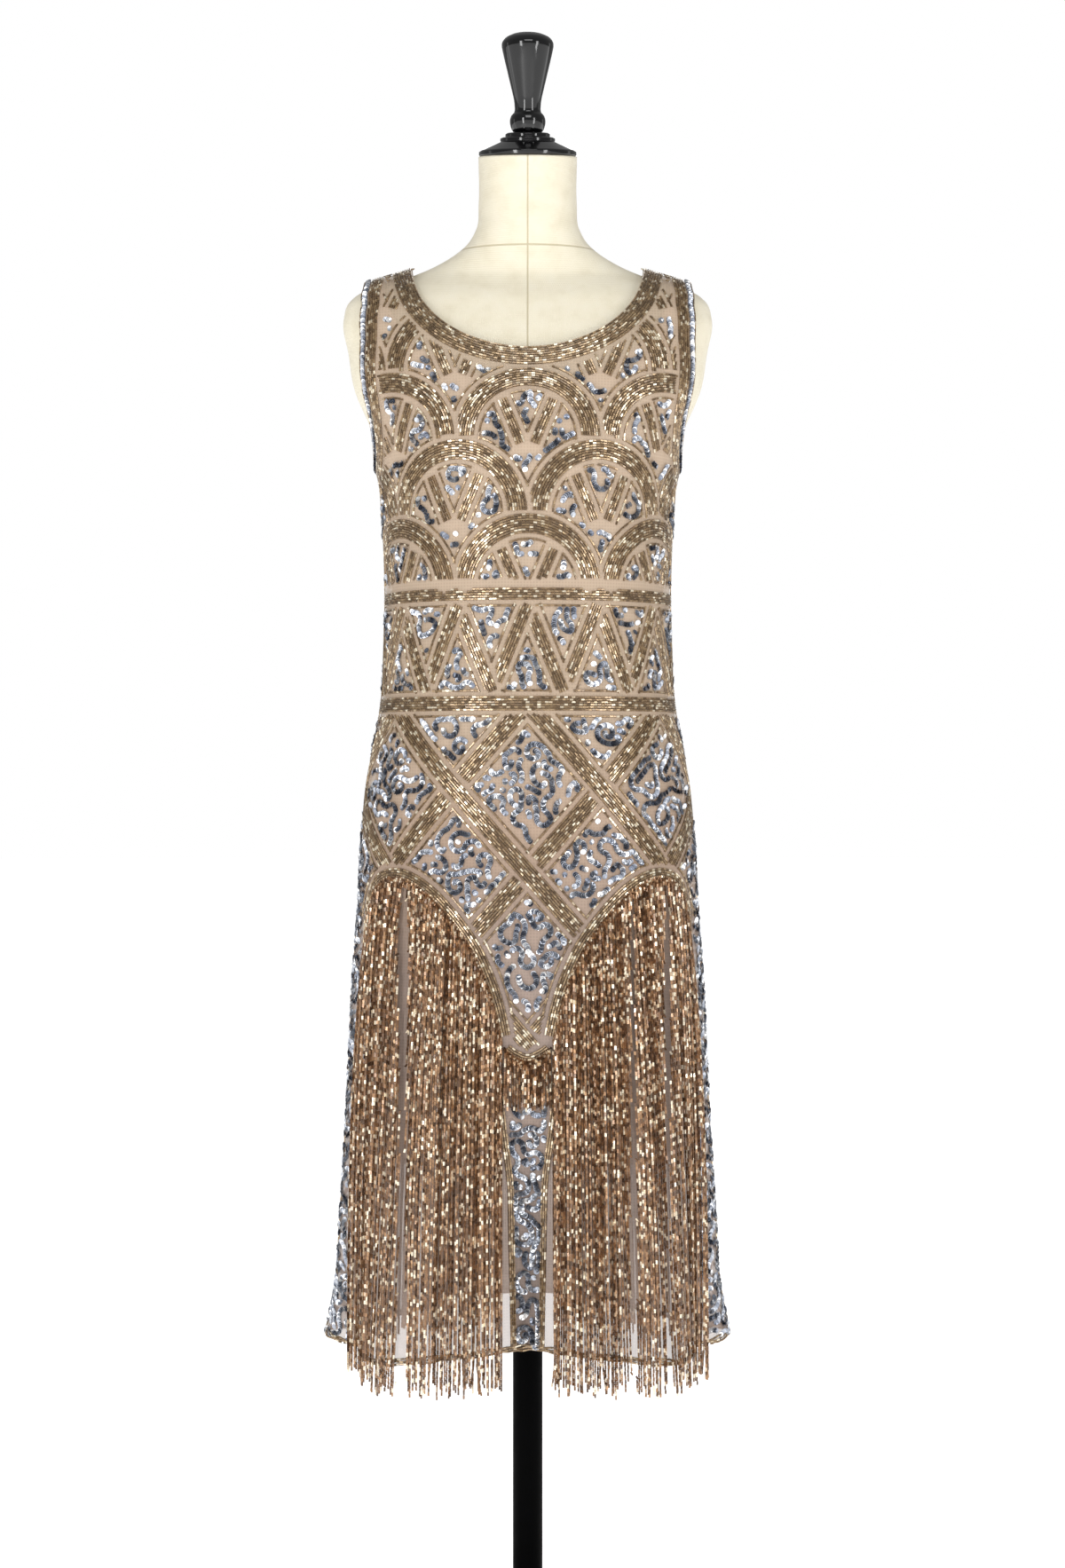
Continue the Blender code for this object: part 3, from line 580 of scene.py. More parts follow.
def panel_grid(
    face: Face,
    neck: NeckCut,
    hem_z: Array,
    columns: int,
    neck_columns: int,
    rows: tuple[int, int],
    rounds: int,
) -> Array:
    """Shares and heights of a whole panel, row by row from the hem and from seam to seam.

    The skirt's rows are level. The yoke above is blended between its four edges: a level line, the centre
    line, the armhole, and the neck's oval with the shoulder seam.

    Args:
        face: front or back.
        neck: the neck's cut.
        hem_z: height of the hem at each column of one half.
        columns: columns of one half.
        neck_columns: how many of them end on the neck.
        rows: rows of the skirt and of the yoke.
        rounds: how often the yoke's points are evened out.

    Returns:
        An array shaped (rows, columns, 2).
    """
    u = np.linspace(0, 1, columns + 1)
    skirt_v = np.linspace(0, 1, rows[0] + 1)[:, None]
    skirt_z = hem_z + (YOKE_Z - hem_z) * skirt_v
    skirt = np.stack([np.broadcast_to(u, skirt_z.shape), skirt_z], axis=-1)
    turn = math.pi / 2 * (1 - np.linspace(1, 0, neck_columns + 1) ** NECK_EASE)
    top_z = neck.point_z - neck.drop(face) * np.cos(turn)
    top = [(FORM.share_at_x(z, neck.half_width * math.sin(t), face), z) for z, t in zip(top_z, turn)]
    top[-1] = (1.0, neck.point_z)
    for step in np.arange(1, columns - neck_columns + 1) / (columns - neck_columns):
        top.append((1.0, neck.point_z + (SHOULDER_TIP_Z - neck.point_z) * step))
    top_share, top_z = np.array(top).T
    v = (1 - (1 - np.arange(rows[1] + 1) / rows[1]) ** YOKE_EASE)[:, None]
    edge_z = YOKE_Z + (SHOULDER_TIP_Z - YOKE_Z) * v[:, 0]
    edge = np.array([armhole_share(z, face) for z in edge_z])[:, None]
    share = (1 - v) * u + v * top_share + u * (edge - 1)
    yoke = np.stack(evened(share, YOKE_Z + v * (top_z - YOKE_Z), rounds), axis=-1)[1:]
    half = np.concatenate([skirt, yoke])
    return np.concatenate([half[:, :0:-1] * [-1, 1], half], axis=1)


# Finishes

# How far threads stand up in a bump
THREAD_RISE = 0.0003


def wave_scale(spacing: float) -> float:
    """The scale at which a wave node's bands lie that far apart: one band is tau / 20 of its unit."""
    return math.tau / 20 / spacing


def new_material(name: str) -> tuple[bpy.types.Material, bpy.types.Node]:
    """An empty node material with its Principled BSDF."""
    made = bpy.data.materials.new(name)
    made.use_nodes = True
    return made, made.node_tree.nodes["Principled BSDF"]


def add_node(
    material: bpy.types.Material, kind: str, settings: dict | None = None, **links: object
) -> bpy.types.Node:
    """Adds one node.

    Args:
        material: the material that it goes into.
        kind: the node's type.
        settings: its properties by name, or its sockets' values by index.
        **links: a socket's name, with _ for a space, or in_ and its index, and the output or value it gets.

    Returns:
        The new node.
    """
    node = material.node_tree.nodes.new(kind)
    for key, value in (settings or {}).items():
        if isinstance(key, int):
            node.inputs[key].default_value = value
        else:
            setattr(node, key, value)
    for key, value in links.items():
        socket = node.inputs[int(key[3:])] if key.startswith("in_") else node.inputs[key.replace("_", " ")]
        if isinstance(value, bpy.types.NodeSocket):
            material.node_tree.links.new(value, socket)
        else:
            socket.default_value = value
    return node


def ramp(
    material: bpy.types.Material, factor: bpy.types.NodeSocket, stops: tuple[tuple[float, str], ...]
) -> bpy.types.NodeSocket:
    """A colour ramp through stops.

    Args:
        material: the material that it goes into.
        factor: what it is read at.
        stops: each stop's position and hex colour.

    Returns:
        The colour's output.
    """
    node = add_node(material, "ShaderNodeValToRGB", Fac=factor)
    band = node.color_ramp
    while len(band.elements) < len(stops):
        band.elements.new(0.5)
    for element, (position, colour) in zip(band.elements, stops):
        element.position, element.color = position, linear(colour)
    return node.outputs["Color"]


def set_constants(shader: bpy.types.Node, values: dict[str, object]) -> None:
    """Sets values that are the same all over on the shader's own sockets."""
    for name, value in values.items():
        shader.inputs[name].default_value = value


def join_shader(
    material: bpy.types.Material, shader: bpy.types.Node, **sockets: bpy.types.NodeSocket
) -> None:
    """Links outputs to the shader's sockets, named with _ for a space."""
    for name, output in sockets.items():
        material.node_tree.links.new(output, shader.inputs[name.replace("_", " ")])


@dataclass(frozen=True)
class LinedGlassBeads:
    """Cut glass tubes lined with metal.

    Drawn glass rod, cut short and lined with copper or gilt foil: each bead is a small bright mirror with a
    glassy skin. Each has a random tone, and the brightest few are painted near-white as a glint.
    """

    name: str
    dark: str
    body: str
    light: str
    painted_glint: str
    painted_glint_from: float = 0.86
    grain: float = 1400.0
    roughness: tuple[float, float] = (0.16, 0.40)
    foil: float = 0.62

    def make(self) -> bpy.types.Material:
        """The colour runs with each bead's own random tone, and the brightest share of the beads is painted
        near-white as a glint.
        """
        made, shader = new_material(self.name)
        tone_and_glint = add_node(made, "ShaderNodeAttribute", {"attribute_name": "tone_and_glint"}).outputs["Fac"]
        # Painted glint: past the light stop the ramp runs up to the near-white glint colour
        bright, white = self.painted_glint_from - 0.06, self.painted_glint_from + 0.04
        stops = ((0.0, self.dark), (0.45, self.body), (bright, self.light), (white, self.painted_glint))
        colour = ramp(made, tone_and_glint, stops)
        # Grain of 0.7 mm, the size of the foil's crinkles, breaks up each bead's shine
        place = add_node(made, "ShaderNodeTexCoord").outputs["Object"]
        grain = add_node(
            made, "ShaderNodeTexNoise", {"noise_dimensions": "3D"}, Vector=place, Scale=self.grain, Detail=1.0
        ).outputs["Fac"]
        low, high = self.roughness
        rough = add_node(made, "ShaderNodeMapRange", None, Value=grain, To_Min=low, To_Max=high)
        set_constants(shader, {"Metallic": self.foil, "Coat Weight": 0.5})
        set_constants(shader, {"Coat Roughness": 0.08, "Specular IOR Level": 0.6})
        join_shader(made, shader, Base_Color=colour, Roughness=rough.outputs["Result"])
        return made


@dataclass(frozen=True)
class CupSequins:
    """Pressed cup sequins of silvered gelatine film: thin bright cups, some darker at random, and some
    painted white as a glint.
    """

    name: str = "silvered cup sequins"
    tarnish: float = 260.0
    roughness: tuple[float, float] = (0.14, 0.38)

    def make(self) -> bpy.types.Material:
        """The tone runs from slate through silver to a painted white glint, and the film's tarnish clouds its
        roughness.
        """
        made, shader = new_material(self.name)
        tone_and_glint = add_node(made, "ShaderNodeAttribute", {"attribute_name": "tone_and_glint"}).outputs["Fac"]
        # Painted glint: each sequin's random tone runs from slate through silver up to white at its top
        colour = ramp(
            made, tone_and_glint,
            ((0.0, "#747a88"), (0.42, "#a6abb6"), (0.76, "#cdd1d8"), (0.84, "#f3f4f7"), (0.91, "#ffffff")),
        )
        place = add_node(made, "ShaderNodeTexCoord").outputs["Object"]
        # Clouds of tarnish 4 mm wide, so that neighbours differ a little
        cloud = add_node(
            made, "ShaderNodeTexNoise", None, Vector=place, Scale=self.tarnish, Detail=2.0
        ).outputs["Fac"]
        low, high = self.roughness
        rough = add_node(made, "ShaderNodeMapRange", None, Value=cloud, To_Min=low, To_Max=high)
        set_constants(shader, {"Metallic": 0.9})
        join_shader(made, shader, Base_Color=colour, Roughness=rough.outputs["Result"])
        return made


@dataclass(frozen=True)
class SilkNet:
    """Fine nude net with painted shade, darker and greyer from the chest down to the skirt: half see-through,
    with a soft sheen along its threads.
    """

    name: str = "nude silk net"
    chest: str = "#cdb79f"
    skirt: str = "#ab988d"
    middle: str = "#c3a993"
    cover: float = 0.60
    uneven: float = 0.06
    mesh: float = 0.0032

    def make(self) -> bpy.types.Material:
        """Two crossed waves draw the threads, 3.2 mm apart: the real 0.6 mm is too fine to show."""
        made, shader = new_material(self.name)
        flat = add_node(made, "ShaderNodeUVMap", {"uv_map": "flat"}).outputs["UV"]
        place = add_node(made, "ShaderNodeTexCoord").outputs["Object"]
        height = add_node(made, "ShaderNodeSeparateXYZ", None, Vector=place).outputs["Z"]
        # Painted shade: the net darkens and greys from the chest at 1.00 m down to the skirt at 0.74 m
        up = add_node(made, "ShaderNodeMapRange", None, Value=height, From_Min=0.74, From_Max=1.00)
        tone = ramp(made, up.outputs["Result"], ((0.0, self.skirt), (0.55, self.middle), (1.0, self.chest)))
        threads = [
            add_node(
                made, "ShaderNodeTexWave",
                {"wave_type": "BANDS", "bands_direction": way, "wave_profile": "SIN"},
                Vector=flat, Scale=wave_scale(self.mesh), Distortion=0.4,
            ).outputs["Fac"]
            for way in ("X", "Y")
        ]
        weave = add_node(
            made, "ShaderNodeMath", {"operation": "MAXIMUM"}, in_0=threads[0], in_1=threads[1]
        ).outputs["Value"]
        cloud = add_node(
            made, "ShaderNodeTexNoise", None, Vector=place, Scale=14.0, Detail=3.0
        ).outputs["Fac"]
        worn, see = (
            add_node(
                made, "ShaderNodeMapRange", None,
                Value=value, To_Min=middle - self.uneven, To_Max=middle + self.uneven,
            ).outputs["Result"]
            for value, middle in ((cloud, 0.0), (weave, self.cover))
        )
        alpha = add_node(
            made, "ShaderNodeMath", {"operation": "ADD", "use_clamp": True}, in_0=see, in_1=worn
        ).outputs["Value"]
        bump = add_node(made, "ShaderNodeBump", None, Height=weave, Strength=0.25, Distance=THREAD_RISE)
        set_constants(shader, {"Sheen Weight": 0.25, "Sheen Roughness": 0.4, "Roughness": 0.72})
        join_shader(made, shader, Base_Color=tone, Alpha=alpha, Normal=bump.outputs["Normal"])
        return made


@dataclass(frozen=True)
class WovenSlip:
    """Plain-woven nude rayon: matt, with a faint crosswise rib and soft creases."""

    name: str = "nude rayon lining"
    colour: str = "#e8d3bf"
    shade: str = "#e6d0be"

    def make(self) -> bpy.types.Material:
        """A 2.4 mm rib, four times the real thread spacing, under random clouds 40 mm wide, and painted shade
        that darkens the lining towards the bottom.
        """
        made, shader = new_material(self.name)
        flat = add_node(made, "ShaderNodeUVMap", {"uv_map": "flat"}).outputs["UV"]
        place = add_node(made, "ShaderNodeTexCoord").outputs["Object"]
        height = add_node(made, "ShaderNodeSeparateXYZ", None, Vector=place).outputs["Z"]
        # Painted shade: the lining darkens towards its shade colour from 1.05 m down to 0.70 m, with random
        # clouds mixed in
        up = add_node(made, "ShaderNodeMapRange", None, Value=height, From_Min=0.70, From_Max=1.05)
        cloud = add_node(made, "ShaderNodeTexNoise", None, Vector=place, Scale=25.0, Detail=4.0)
        mixed = add_node(
            made, "ShaderNodeMath", {"operation": "MULTIPLY_ADD", "use_clamp": True},
            in_0=cloud.outputs["Fac"], in_1=0.25, in_2=up.outputs["Result"],
        )
        tone = ramp(made, mixed.outputs["Value"], ((0.1, self.shade), (0.9, self.colour)))
        rib = add_node(
            made, "ShaderNodeTexWave", {"wave_type": "BANDS", "bands_direction": "Y"},
            Vector=flat, Scale=130.0, Distortion=0.8,
        ).outputs["Fac"]
        bump = add_node(made, "ShaderNodeBump", None, Height=rib, Strength=0.3, Distance=THREAD_RISE)
        set_constants(shader, {"Roughness": 0.82, "Sheen Weight": 0.3, "Sheen Roughness": 0.5})
        join_shader(made, shader, Base_Color=tone, Normal=bump.outputs["Normal"])
        return made


@dataclass(frozen=True)
class StretchedCanvas:
    """Cream cotton canvas drawn tight over padding: a fine even weave with slubs, and sewn seams."""

    name: str = "cream cotton canvas"
    colour: str = "#e9e1ca"
    shade: str = "#e1d8bf"
    slub: str = "#ece5d1"
    seam: str = "#c2b698"
    seam_z: float = 1.4945

    def make(self) -> bpy.types.Material:
        """Warp and weft 2.2 mm apart, four times the real spacing, with slubs and lapped seams."""
        made, shader = new_material(self.name)
        place = add_node(made, "ShaderNodeTexCoord").outputs["Object"]
        parts = add_node(made, "ShaderNodeSeparateXYZ", None, Vector=place)
        flat = add_node(made, "ShaderNodeUVMap", {"uv_map": "flat"}).outputs["UV"]
        threads = [
            add_node(
                made, "ShaderNodeTexWave", {"wave_type": "BANDS", "bands_direction": way},
                Vector=flat, Scale=143.0, Distortion=1.2, Detail=1.0, Detail_Scale=2.0,
            ).outputs["Fac"]
            for way in ("X", "Y")
        ]
        weave = add_node(made, "ShaderNodeMath", {"operation": "ADD"}, in_0=threads[0], in_1=threads[1])
        slubs = add_node(made, "ShaderNodeTexNoise", None, Vector=place, Scale=55.0, Detail=5.0)
        stops = ((0.25, self.shade), (0.50, self.colour), (0.8, self.slub))
        tone = ramp(made, slubs.outputs["Fac"], stops)
        # A seam is a line 0.8 mm wide that fades over 0.8 mm: down the centre, and round the neck's base
        above = add_node(
            made, "ShaderNodeMath", {"operation": "SUBTRACT"}, in_0=parts.outputs["Z"], in_1=self.seam_z
        ).outputs["Value"]
        lines = []
        for distance, half_width in ((parts.outputs["X"], 0.0012), (above, 0.0013)):
            off = add_node(made, "ShaderNodeMath", {"operation": "ABSOLUTE"}, in_0=distance)
            lines.append(add_node(
                made, "ShaderNodeMapRange", None,
                Value=off.outputs["Value"], From_Min=0.0004, From_Max=half_width,
            ).outputs["Result"])
        seams = add_node(
            made, "ShaderNodeMath", {"operation": "MULTIPLY"}, in_0=lines[0], in_1=lines[1]
        ).outputs["Value"]
        darker = add_node(
            made, "ShaderNodeMix", {"data_type": "RGBA"}, in_0=seams, in_6=linear(self.seam), in_7=tone
        )
        raised = add_node(
            made, "ShaderNodeMath", {"operation": "MULTIPLY_ADD"},
            in_0=seams, in_1=3.0, in_2=weave.outputs["Value"],
        ).outputs["Value"]
        bump = add_node(made, "ShaderNodeBump", None, Height=raised, Strength=0.35, Distance=THREAD_RISE)
        set_constants(shader, {"Roughness": 0.88, "Sheen Weight": 0.2, "Sheen Roughness": 0.6})
        join_shader(made, shader, Base_Color=darker.outputs["Result"], Normal=bump.outputs["Normal"])
        return made


@dataclass(frozen=True)
class BlackGloss:
    """A hard black coat over turned wood or steel.

    Lacquer flows out glassy, with a slight orange peel; enamel is duller and shows fine handling marks.
    """

    name: str
    colour: str
    roughness: tuple[float, float]
    coat: float
    peel_mm: float
    shine: float = 0.5
    worn: str = "#050506"

    def make(self) -> bpy.types.Material:
        """Noise as fine as the coat's peel gives the bump, and wider smears vary the gloss."""
        made, shader = new_material(self.name)
        place = add_node(made, "ShaderNodeTexCoord").outputs["Object"]
        peel = add_node(
            made, "ShaderNodeTexNoise", None, Vector=place, Scale=1000.0 / self.peel_mm, Detail=1.0
        ).outputs["Fac"]
        smear = add_node(made, "ShaderNodeTexNoise", None, Vector=place, Scale=60.0, Detail=4.0)
        rough = add_node(
            made, "ShaderNodeMapRange", None, Value=smear.outputs["Fac"], From_Min=0.35, From_Max=0.7,
            To_Min=self.roughness[0], To_Max=self.roughness[1],
        )
        tone = ramp(made, smear.outputs["Fac"], ((0.3, self.colour), (0.8, self.worn)))
        bump = add_node(made, "ShaderNodeBump", None, Height=peel, Strength=0.03, Distance=0.0004)
        set_constants(shader, {"Coat Weight": self.coat, "Coat Roughness": 0.03})
        set_constants(shader, {"Specular IOR Level": self.shine})
        join_shader(
            made, shader, Base_Color=tone, Roughness=rough.outputs["Result"], Normal=bump.outputs["Normal"]
        )
        return made


@dataclass(frozen=True)
class StudioPaper:
    """White paper floor, lit so that it has no edge."""

    name: str = "white studio paper"

    def make(self) -> bpy.types.Material:
        """Paper fibre as faint noise, and a glow that takes the floor to full white."""
        made, shader = new_material(self.name)
        place = add_node(made, "ShaderNodeTexCoord").outputs["Object"]
        fibre = add_node(made, "ShaderNodeTexNoise", None, Vector=place, Scale=400.0, Detail=2.0)
        tone = ramp(made, fibre.outputs["Fac"], ((0.3, "#fbfbfb"), (0.7, "#ffffff")))
        set_constants(shader, {"Roughness": 0.9, "Emission Color": (1, 1, 1, 1), "Emission Strength": 0.85})
        join_shader(made, shader, Base_Color=tone)
        return made


@dataclass(frozen=True)
class Finishes:
    """Every finish of the gown and its stand, made once."""

    net: bpy.types.Material
    lining: bpy.types.Material
    gilt: bpy.types.Material
    copper: bpy.types.Material
    sequins: bpy.types.Material
    canvas: bpy.types.Material
    lacquer: bpy.types.Material
    enamel: bpy.types.Material
    paper: bpy.types.Material

    @classmethod
    def make(cls) -> Finishes:
        """Makes all materials."""
        return cls(
            net=SilkNet().make(),
            lining=WovenSlip().make(),
            gilt=LinedGlassBeads(
                "gilt lined bugle beads", "#705c45", "#947b5d", "#b59c79", "#f5ead2", 0.87
            ).make(),
            copper=LinedGlassBeads(
                "copper lined bugle beads", "#573f2c", "#866244", "#ad8660", "#f8ead0", 0.86
            ).make(),
            sequins=CupSequins().make(),
            canvas=StretchedCanvas().make(),
            lacquer=BlackGloss("black lacquered beech", "#040405", (0.06, 0.18), 0.3, 1.4).make(),
            enamel=BlackGloss("black stove enamel on steel", "#010101", (0.50, 0.65), 0.0, 0.9, 0.03).make(),
            paper=StudioPaper().make(),
        )


# Beads and sequins


@dataclass(frozen=True)
class Cut:
    """One kind of bead or sequin: its corners along, beside and above its seat, and its faces."""

    corners: Array
    faces: Array

    @classmethod
    def bugle(cls, length: float, radius: float) -> Cut:
        """A short tube lying on the net, cut as half a hexagon across."""
        section = np.array(((-1.0, 0.0), (-0.58, 0.92), (0.58, 0.92), (1.0, 0.0))) * radius
        return cls(*cls.prism(section, length))

    @classmethod
    def hanging(cls, length: float, radius: float) -> Cut:
        """A short tube on a free thread, cut as a triangle across."""
        section = np.array(((-0.87, -0.5), (0.0, 1.0), (0.87, -0.5))) * radius
        return cls(*cls.prism(section, length))

    @staticmethod
    def prism(section: Array, length: float) -> tuple[Array, Array]:
        """Both ends of a section, and its sides and ends as triangles turned outwards."""
        n = len(section)
        ends = [np.column_stack([np.full(n, x), section]) for x in (-length / 2, length / 2)]
        faces = []
        for k, after in zip(range(n), [*range(1, n), 0]):
            faces += [(k, k + n, after + n), (k, after + n, after)]
        for k in range(1, n - 1):
            faces += [(0, k, k + 1), (n + k + 1, n + k, n)]
        return np.concatenate(ends), np.array(faces)

    @classmethod
    def cup(cls, diameter: float, depth: float, sides: int = 8) -> Cut:
        """A shallow cup: a rim of eight corners round a sunken middle."""
        turn = np.arange(sides) * math.tau / sides
        rim = np.column_stack([np.cos(turn), np.sin(turn), np.zeros(sides)]) * diameter / 2
        faces = [(0, 1 + k, 1 + (k + 1) % sides) for k in range(sides)]
        return cls(np.concatenate([[(0.0, 0.0, -depth)], rim]), np.array(faces))


class Scatter:
    """Many copies of one cut, gathered and then made one mesh."""

    def __init__(self, cut: Cut, seed: int) -> None:
        """Starts empty."""
        self.cut = cut
        self.random = np.random.default_rng(seed)
        self.seats: list[tuple[Array, Array, Array]] = []

    def add(self, places: Array, along: Array, normals: Array) -> None:
        """Adds copies at places, lying along one direction with their tops along the normals."""
        if len(places):
            self.seats.append((places, along, normals))

    def count(self) -> int:
        """How many copies there are."""
        return sum(len(places) for places, _, _ in self.seats)

    def make(
        self,
        name: str,
        material: bpy.types.Material,
        slot: Slot,
        tilt: float,
        shingle: float = 0.0,
        spin: float = 0.0,
    ) -> bpy.types.Object:
        """Makes the mesh.

        Each copy's three axes are its direction, its normal, and their cross product. It is first pitched
        by the shingle angle about its side axis, and then turned by small random angles, so that each has
        its own glint.

        Args:
            name: the piece's name.
            material: its finish.
            slot: the record's slot; not used.
            tilt: the random turn, in radians.
            shingle: the constant pitch, in radians.
            spin: how far each may be turned about its own length, in radians.

        Returns:
            The new object.
        """
        places, along, normals = (np.concatenate(parts) for parts in zip(*self.seats))
        count = len(places)
        pitch = shingle + self.random.normal(0, tilt, count)
        roll = self.random.normal(0, tilt, count) + spin * self.random.uniform(-1, 1, count)
        side = unit(np.cross(normals, along))
        along = unit(np.cross(side, normals))
        turned = np.cos(pitch)[:, None] * along + np.sin(pitch)[:, None] * normals
        top = unit(np.cross(turned, side))
        top, side = (
            np.cos(roll)[:, None] * top + np.sin(roll)[:, None] * side,
            np.cos(roll)[:, None] * side - np.sin(roll)[:, None] * top,
        )
        axes = np.stack([turned, side, top], axis=1)
        points = places[:, None] + np.einsum("vk,nkd->nvd", self.cut.corners, axes)
        corners = len(self.cut.corners)
        faces = self.cut.faces[None] + (np.arange(count) * corners)[:, None, None]
        faces = faces.reshape(-1, faces.shape[-1])
        # A random tone for each copy; the materials paint the top of its range as a white glint
        tone_and_glint = np.repeat(self.random.random(count), corners)
        return add_piece(name, points.reshape(-1, 3), faces, material, smooth=False, tone_and_glint=tone_and_glint)


# The order of bands that lie under every fan
UNDER_ALL = 9000


class FlatMap:
    """A raster of the flat cloth that records what is already sewn there, a millimetre to a cell."""

    CELL = 0.001
    LOW = np.array((-0.30, 0.33))
    CELLS = (600, 1260)

    def __init__(self) -> None:
        """Nothing is sewn yet."""
        self.core = np.zeros(self.CELLS, bool)
        self.margin = np.zeros(self.CELLS, bool)
        self.cover = np.full(self.CELLS, UNDER_ALL + 999, np.int32)

    def cell(self, flat: Array) -> tuple[Array, Array]:
        """The cells of flat places."""
        found = np.round((flat - self.LOW) / self.CELL).astype(int)
        return np.clip(found[..., 0], 0, self.CELLS[0] - 1), np.clip(found[..., 1], 0, self.CELLS[1] - 1)

    def disc(self, radius: float) -> Array:
        """Offsets of all cells within a radius."""
        reach = int(radius / self.CELL) + 1
        steps = np.arange(-reach, reach + 1)
        i, j = np.meshgrid(steps, steps, indexing="ij")
        near = i**2 + j**2 <= (radius / self.CELL) ** 2
        return np.stack([i[near], j[near]], axis=-1) * self.CELL

    def stroke(self, line: Array, core: float, margin: float) -> None:
        """Marks all cells within two radii of a line's points: the core bars beads, the margin sequins."""
        for raster, radius in ((self.core, core), (self.margin, margin)):
            raster[self.cell((line[:, None] + self.disc(radius)[None]).reshape(-1, 2))] = True


@dataclass
class Band:
    """Rows of beads side by side along a line."""

    line: Array
    rows: int
    order: int = UNDER_ALL
    outlined: bool = True
    keep: Callable[[Array], Array] | None = None


@dataclass
class Beadwork:
    """The sewing on one panel: bead bands first, then their outlines, then sequins in what is left."""

    surface: ClothSurface
    face: Face
    seed: int
    bead_pitch: float = 0.0038
    row_pitch: float = 0.0025
    net_gap: float = 0.0042
    outline_gap: float = 0.0012
    sequin_pitch: float = 0.0019
    line_gap: float = 0.0066
    net_lift: float = 0.0016
    bead: tuple[float, float] = (0.0035, 0.00112)
    sequin: tuple[float, float] = (0.0060, 0.0008)
    sequin_rise: float = 0.0010
    sequin_margin: float = 0.0042
    flat: FlatMap = field(default_factory=FlatMap)
    bands: list[Band] = field(default_factory=list)

    # How a line of sequins wanders: its length in steps, the steps at its end that don't bar it, its turn
    # at each step, the steps until that changes, and the turns that it tries in order
    SHORTEST, LONGEST, TAIL = 3, 400, 6
    CURL, CURL_STEPS = (0.10, 0.34), (5, 11)
    TURNS = np.array((0.0, 0.25, -0.25, 0.5, -0.5, 0.8, -0.8, 1.15, -1.15))

    def __post_init__(self) -> None:
        """Opens the two scatters, and reads the armhole's edge at each height of the cloth."""
        self.beads = Scatter(Cut.bugle(*self.bead), self.seed)
        self.sequins = Scatter(Cut.cup(*self.sequin), self.seed + 1)
        self.random = np.random.default_rng(self.seed + 2)
        self.arm = np.array([
            armhole_share(h, self.face) if ARMHOLE_LOW_Z < h < SHOULDER_TIP_Z else 1.0
            for h in self.surface.heights
        ])

    def half_width(self, rows: int) -> float:
        """Half the width of a band with that many rows."""
        return rows * self.row_pitch / 2

    def sew_row(self, cloth: Array, allowed: Callable[[Array], Array] | None = None) -> None:
        """Sews one row of beads along a line, only where it is allowed, or all along it."""
        places, along = self.surface.spaced(cloth, self.bead_pitch)
        if not len(places):
            return
        inside = self.on_cloth(places)
        if allowed is not None:
            inside &= allowed(self.surface.to_flat(places))
        places, along = places[inside], along[inside]
        share, z = places.T
        self.beads.add(self.surface.place(share, z, self.net_lift), along, self.surface.normal(share, z))

    def on_cloth(self, places: Array) -> Array:
        """Whether places lie on the panel, inside its neck, armholes and seams."""
        share, z = places.T
        x = self.surface.place(share, z)[:, 0]
        reach = np.interp(z, self.surface.heights, self.arm) + 0.002
        level = (z < GOWN_NECK.point_z + 0.0005) & (z > HEM_Z - 0.012)
        return (np.abs(share) <= reach) & level & GOWN_NECK.outside(x, z - 0.0008, self.face)

    def free_for(self, band: Band) -> Callable[[Array], Array]:
        """A test for flat places where a band may lie: bare, under no fan, and where it is kept."""

        def free(flat: Array) -> Array:
            """Whether each place is free."""
            cells = self.flat.cell(flat)
            bare = ~self.flat.core[cells] & (self.flat.cover[cells] >= band.order)
            return bare if band.keep is None else bare & band.keep(flat)

        return free

    def add_band(self, band: Band) -> None:
        """Sews a band where nothing is yet, and claims its place."""
        hold = self.half_width(band.rows) + self.net_gap
        allowed = self.free_for(band)
        for k in range(band.rows):
            self.sew_row(self.surface.beside(band.line, (k - (band.rows - 1) / 2) * self.row_pitch), allowed)
        flat = self.surface.to_flat(band.line)
        flat = flat[allowed(flat)]
        if len(flat):
            self.flat.stroke(flat, hold, hold + self.sequin_margin)
        self.bands.append(band)

    def cover_disc(self, centre: Array, radius: float, order: int, low: float) -> None:
        """Lets a fan lie over all that comes after it, down to a level."""
        cells = centre + self.flat.disc(radius)
        held = self.flat.cell(cells[cells[:, 1] > low])
        self.flat.cover[held] = np.minimum(self.flat.cover[held], order)

    def sew_outlines(self) -> None:
        """Sews one row beside each band, across a gap of bare net."""
        for band in self.bands:
            if not band.outlined:
                continue
            off = self.half_width(band.rows) + self.net_gap + self.outline_gap
            for side in Side:
                self.sew_row(self.surface.beside(band.line, side * off), self.free_for(band))

    def sew_sequin_line(self, cloth: Array) -> None:
        """Sews overlapping sequins along a line."""
        places, along = self.surface.spaced(cloth, self.sequin_pitch)
        inside = self.on_cloth(places) if len(places) else np.zeros(0, bool)
        places, along = places[inside], along[inside]
        if len(places):
            share, z = places.T
            seats = self.surface.place(share, z, self.net_lift + self.sequin_rise)
            self.sequins.add(seats, along, self.surface.normal(share, z))

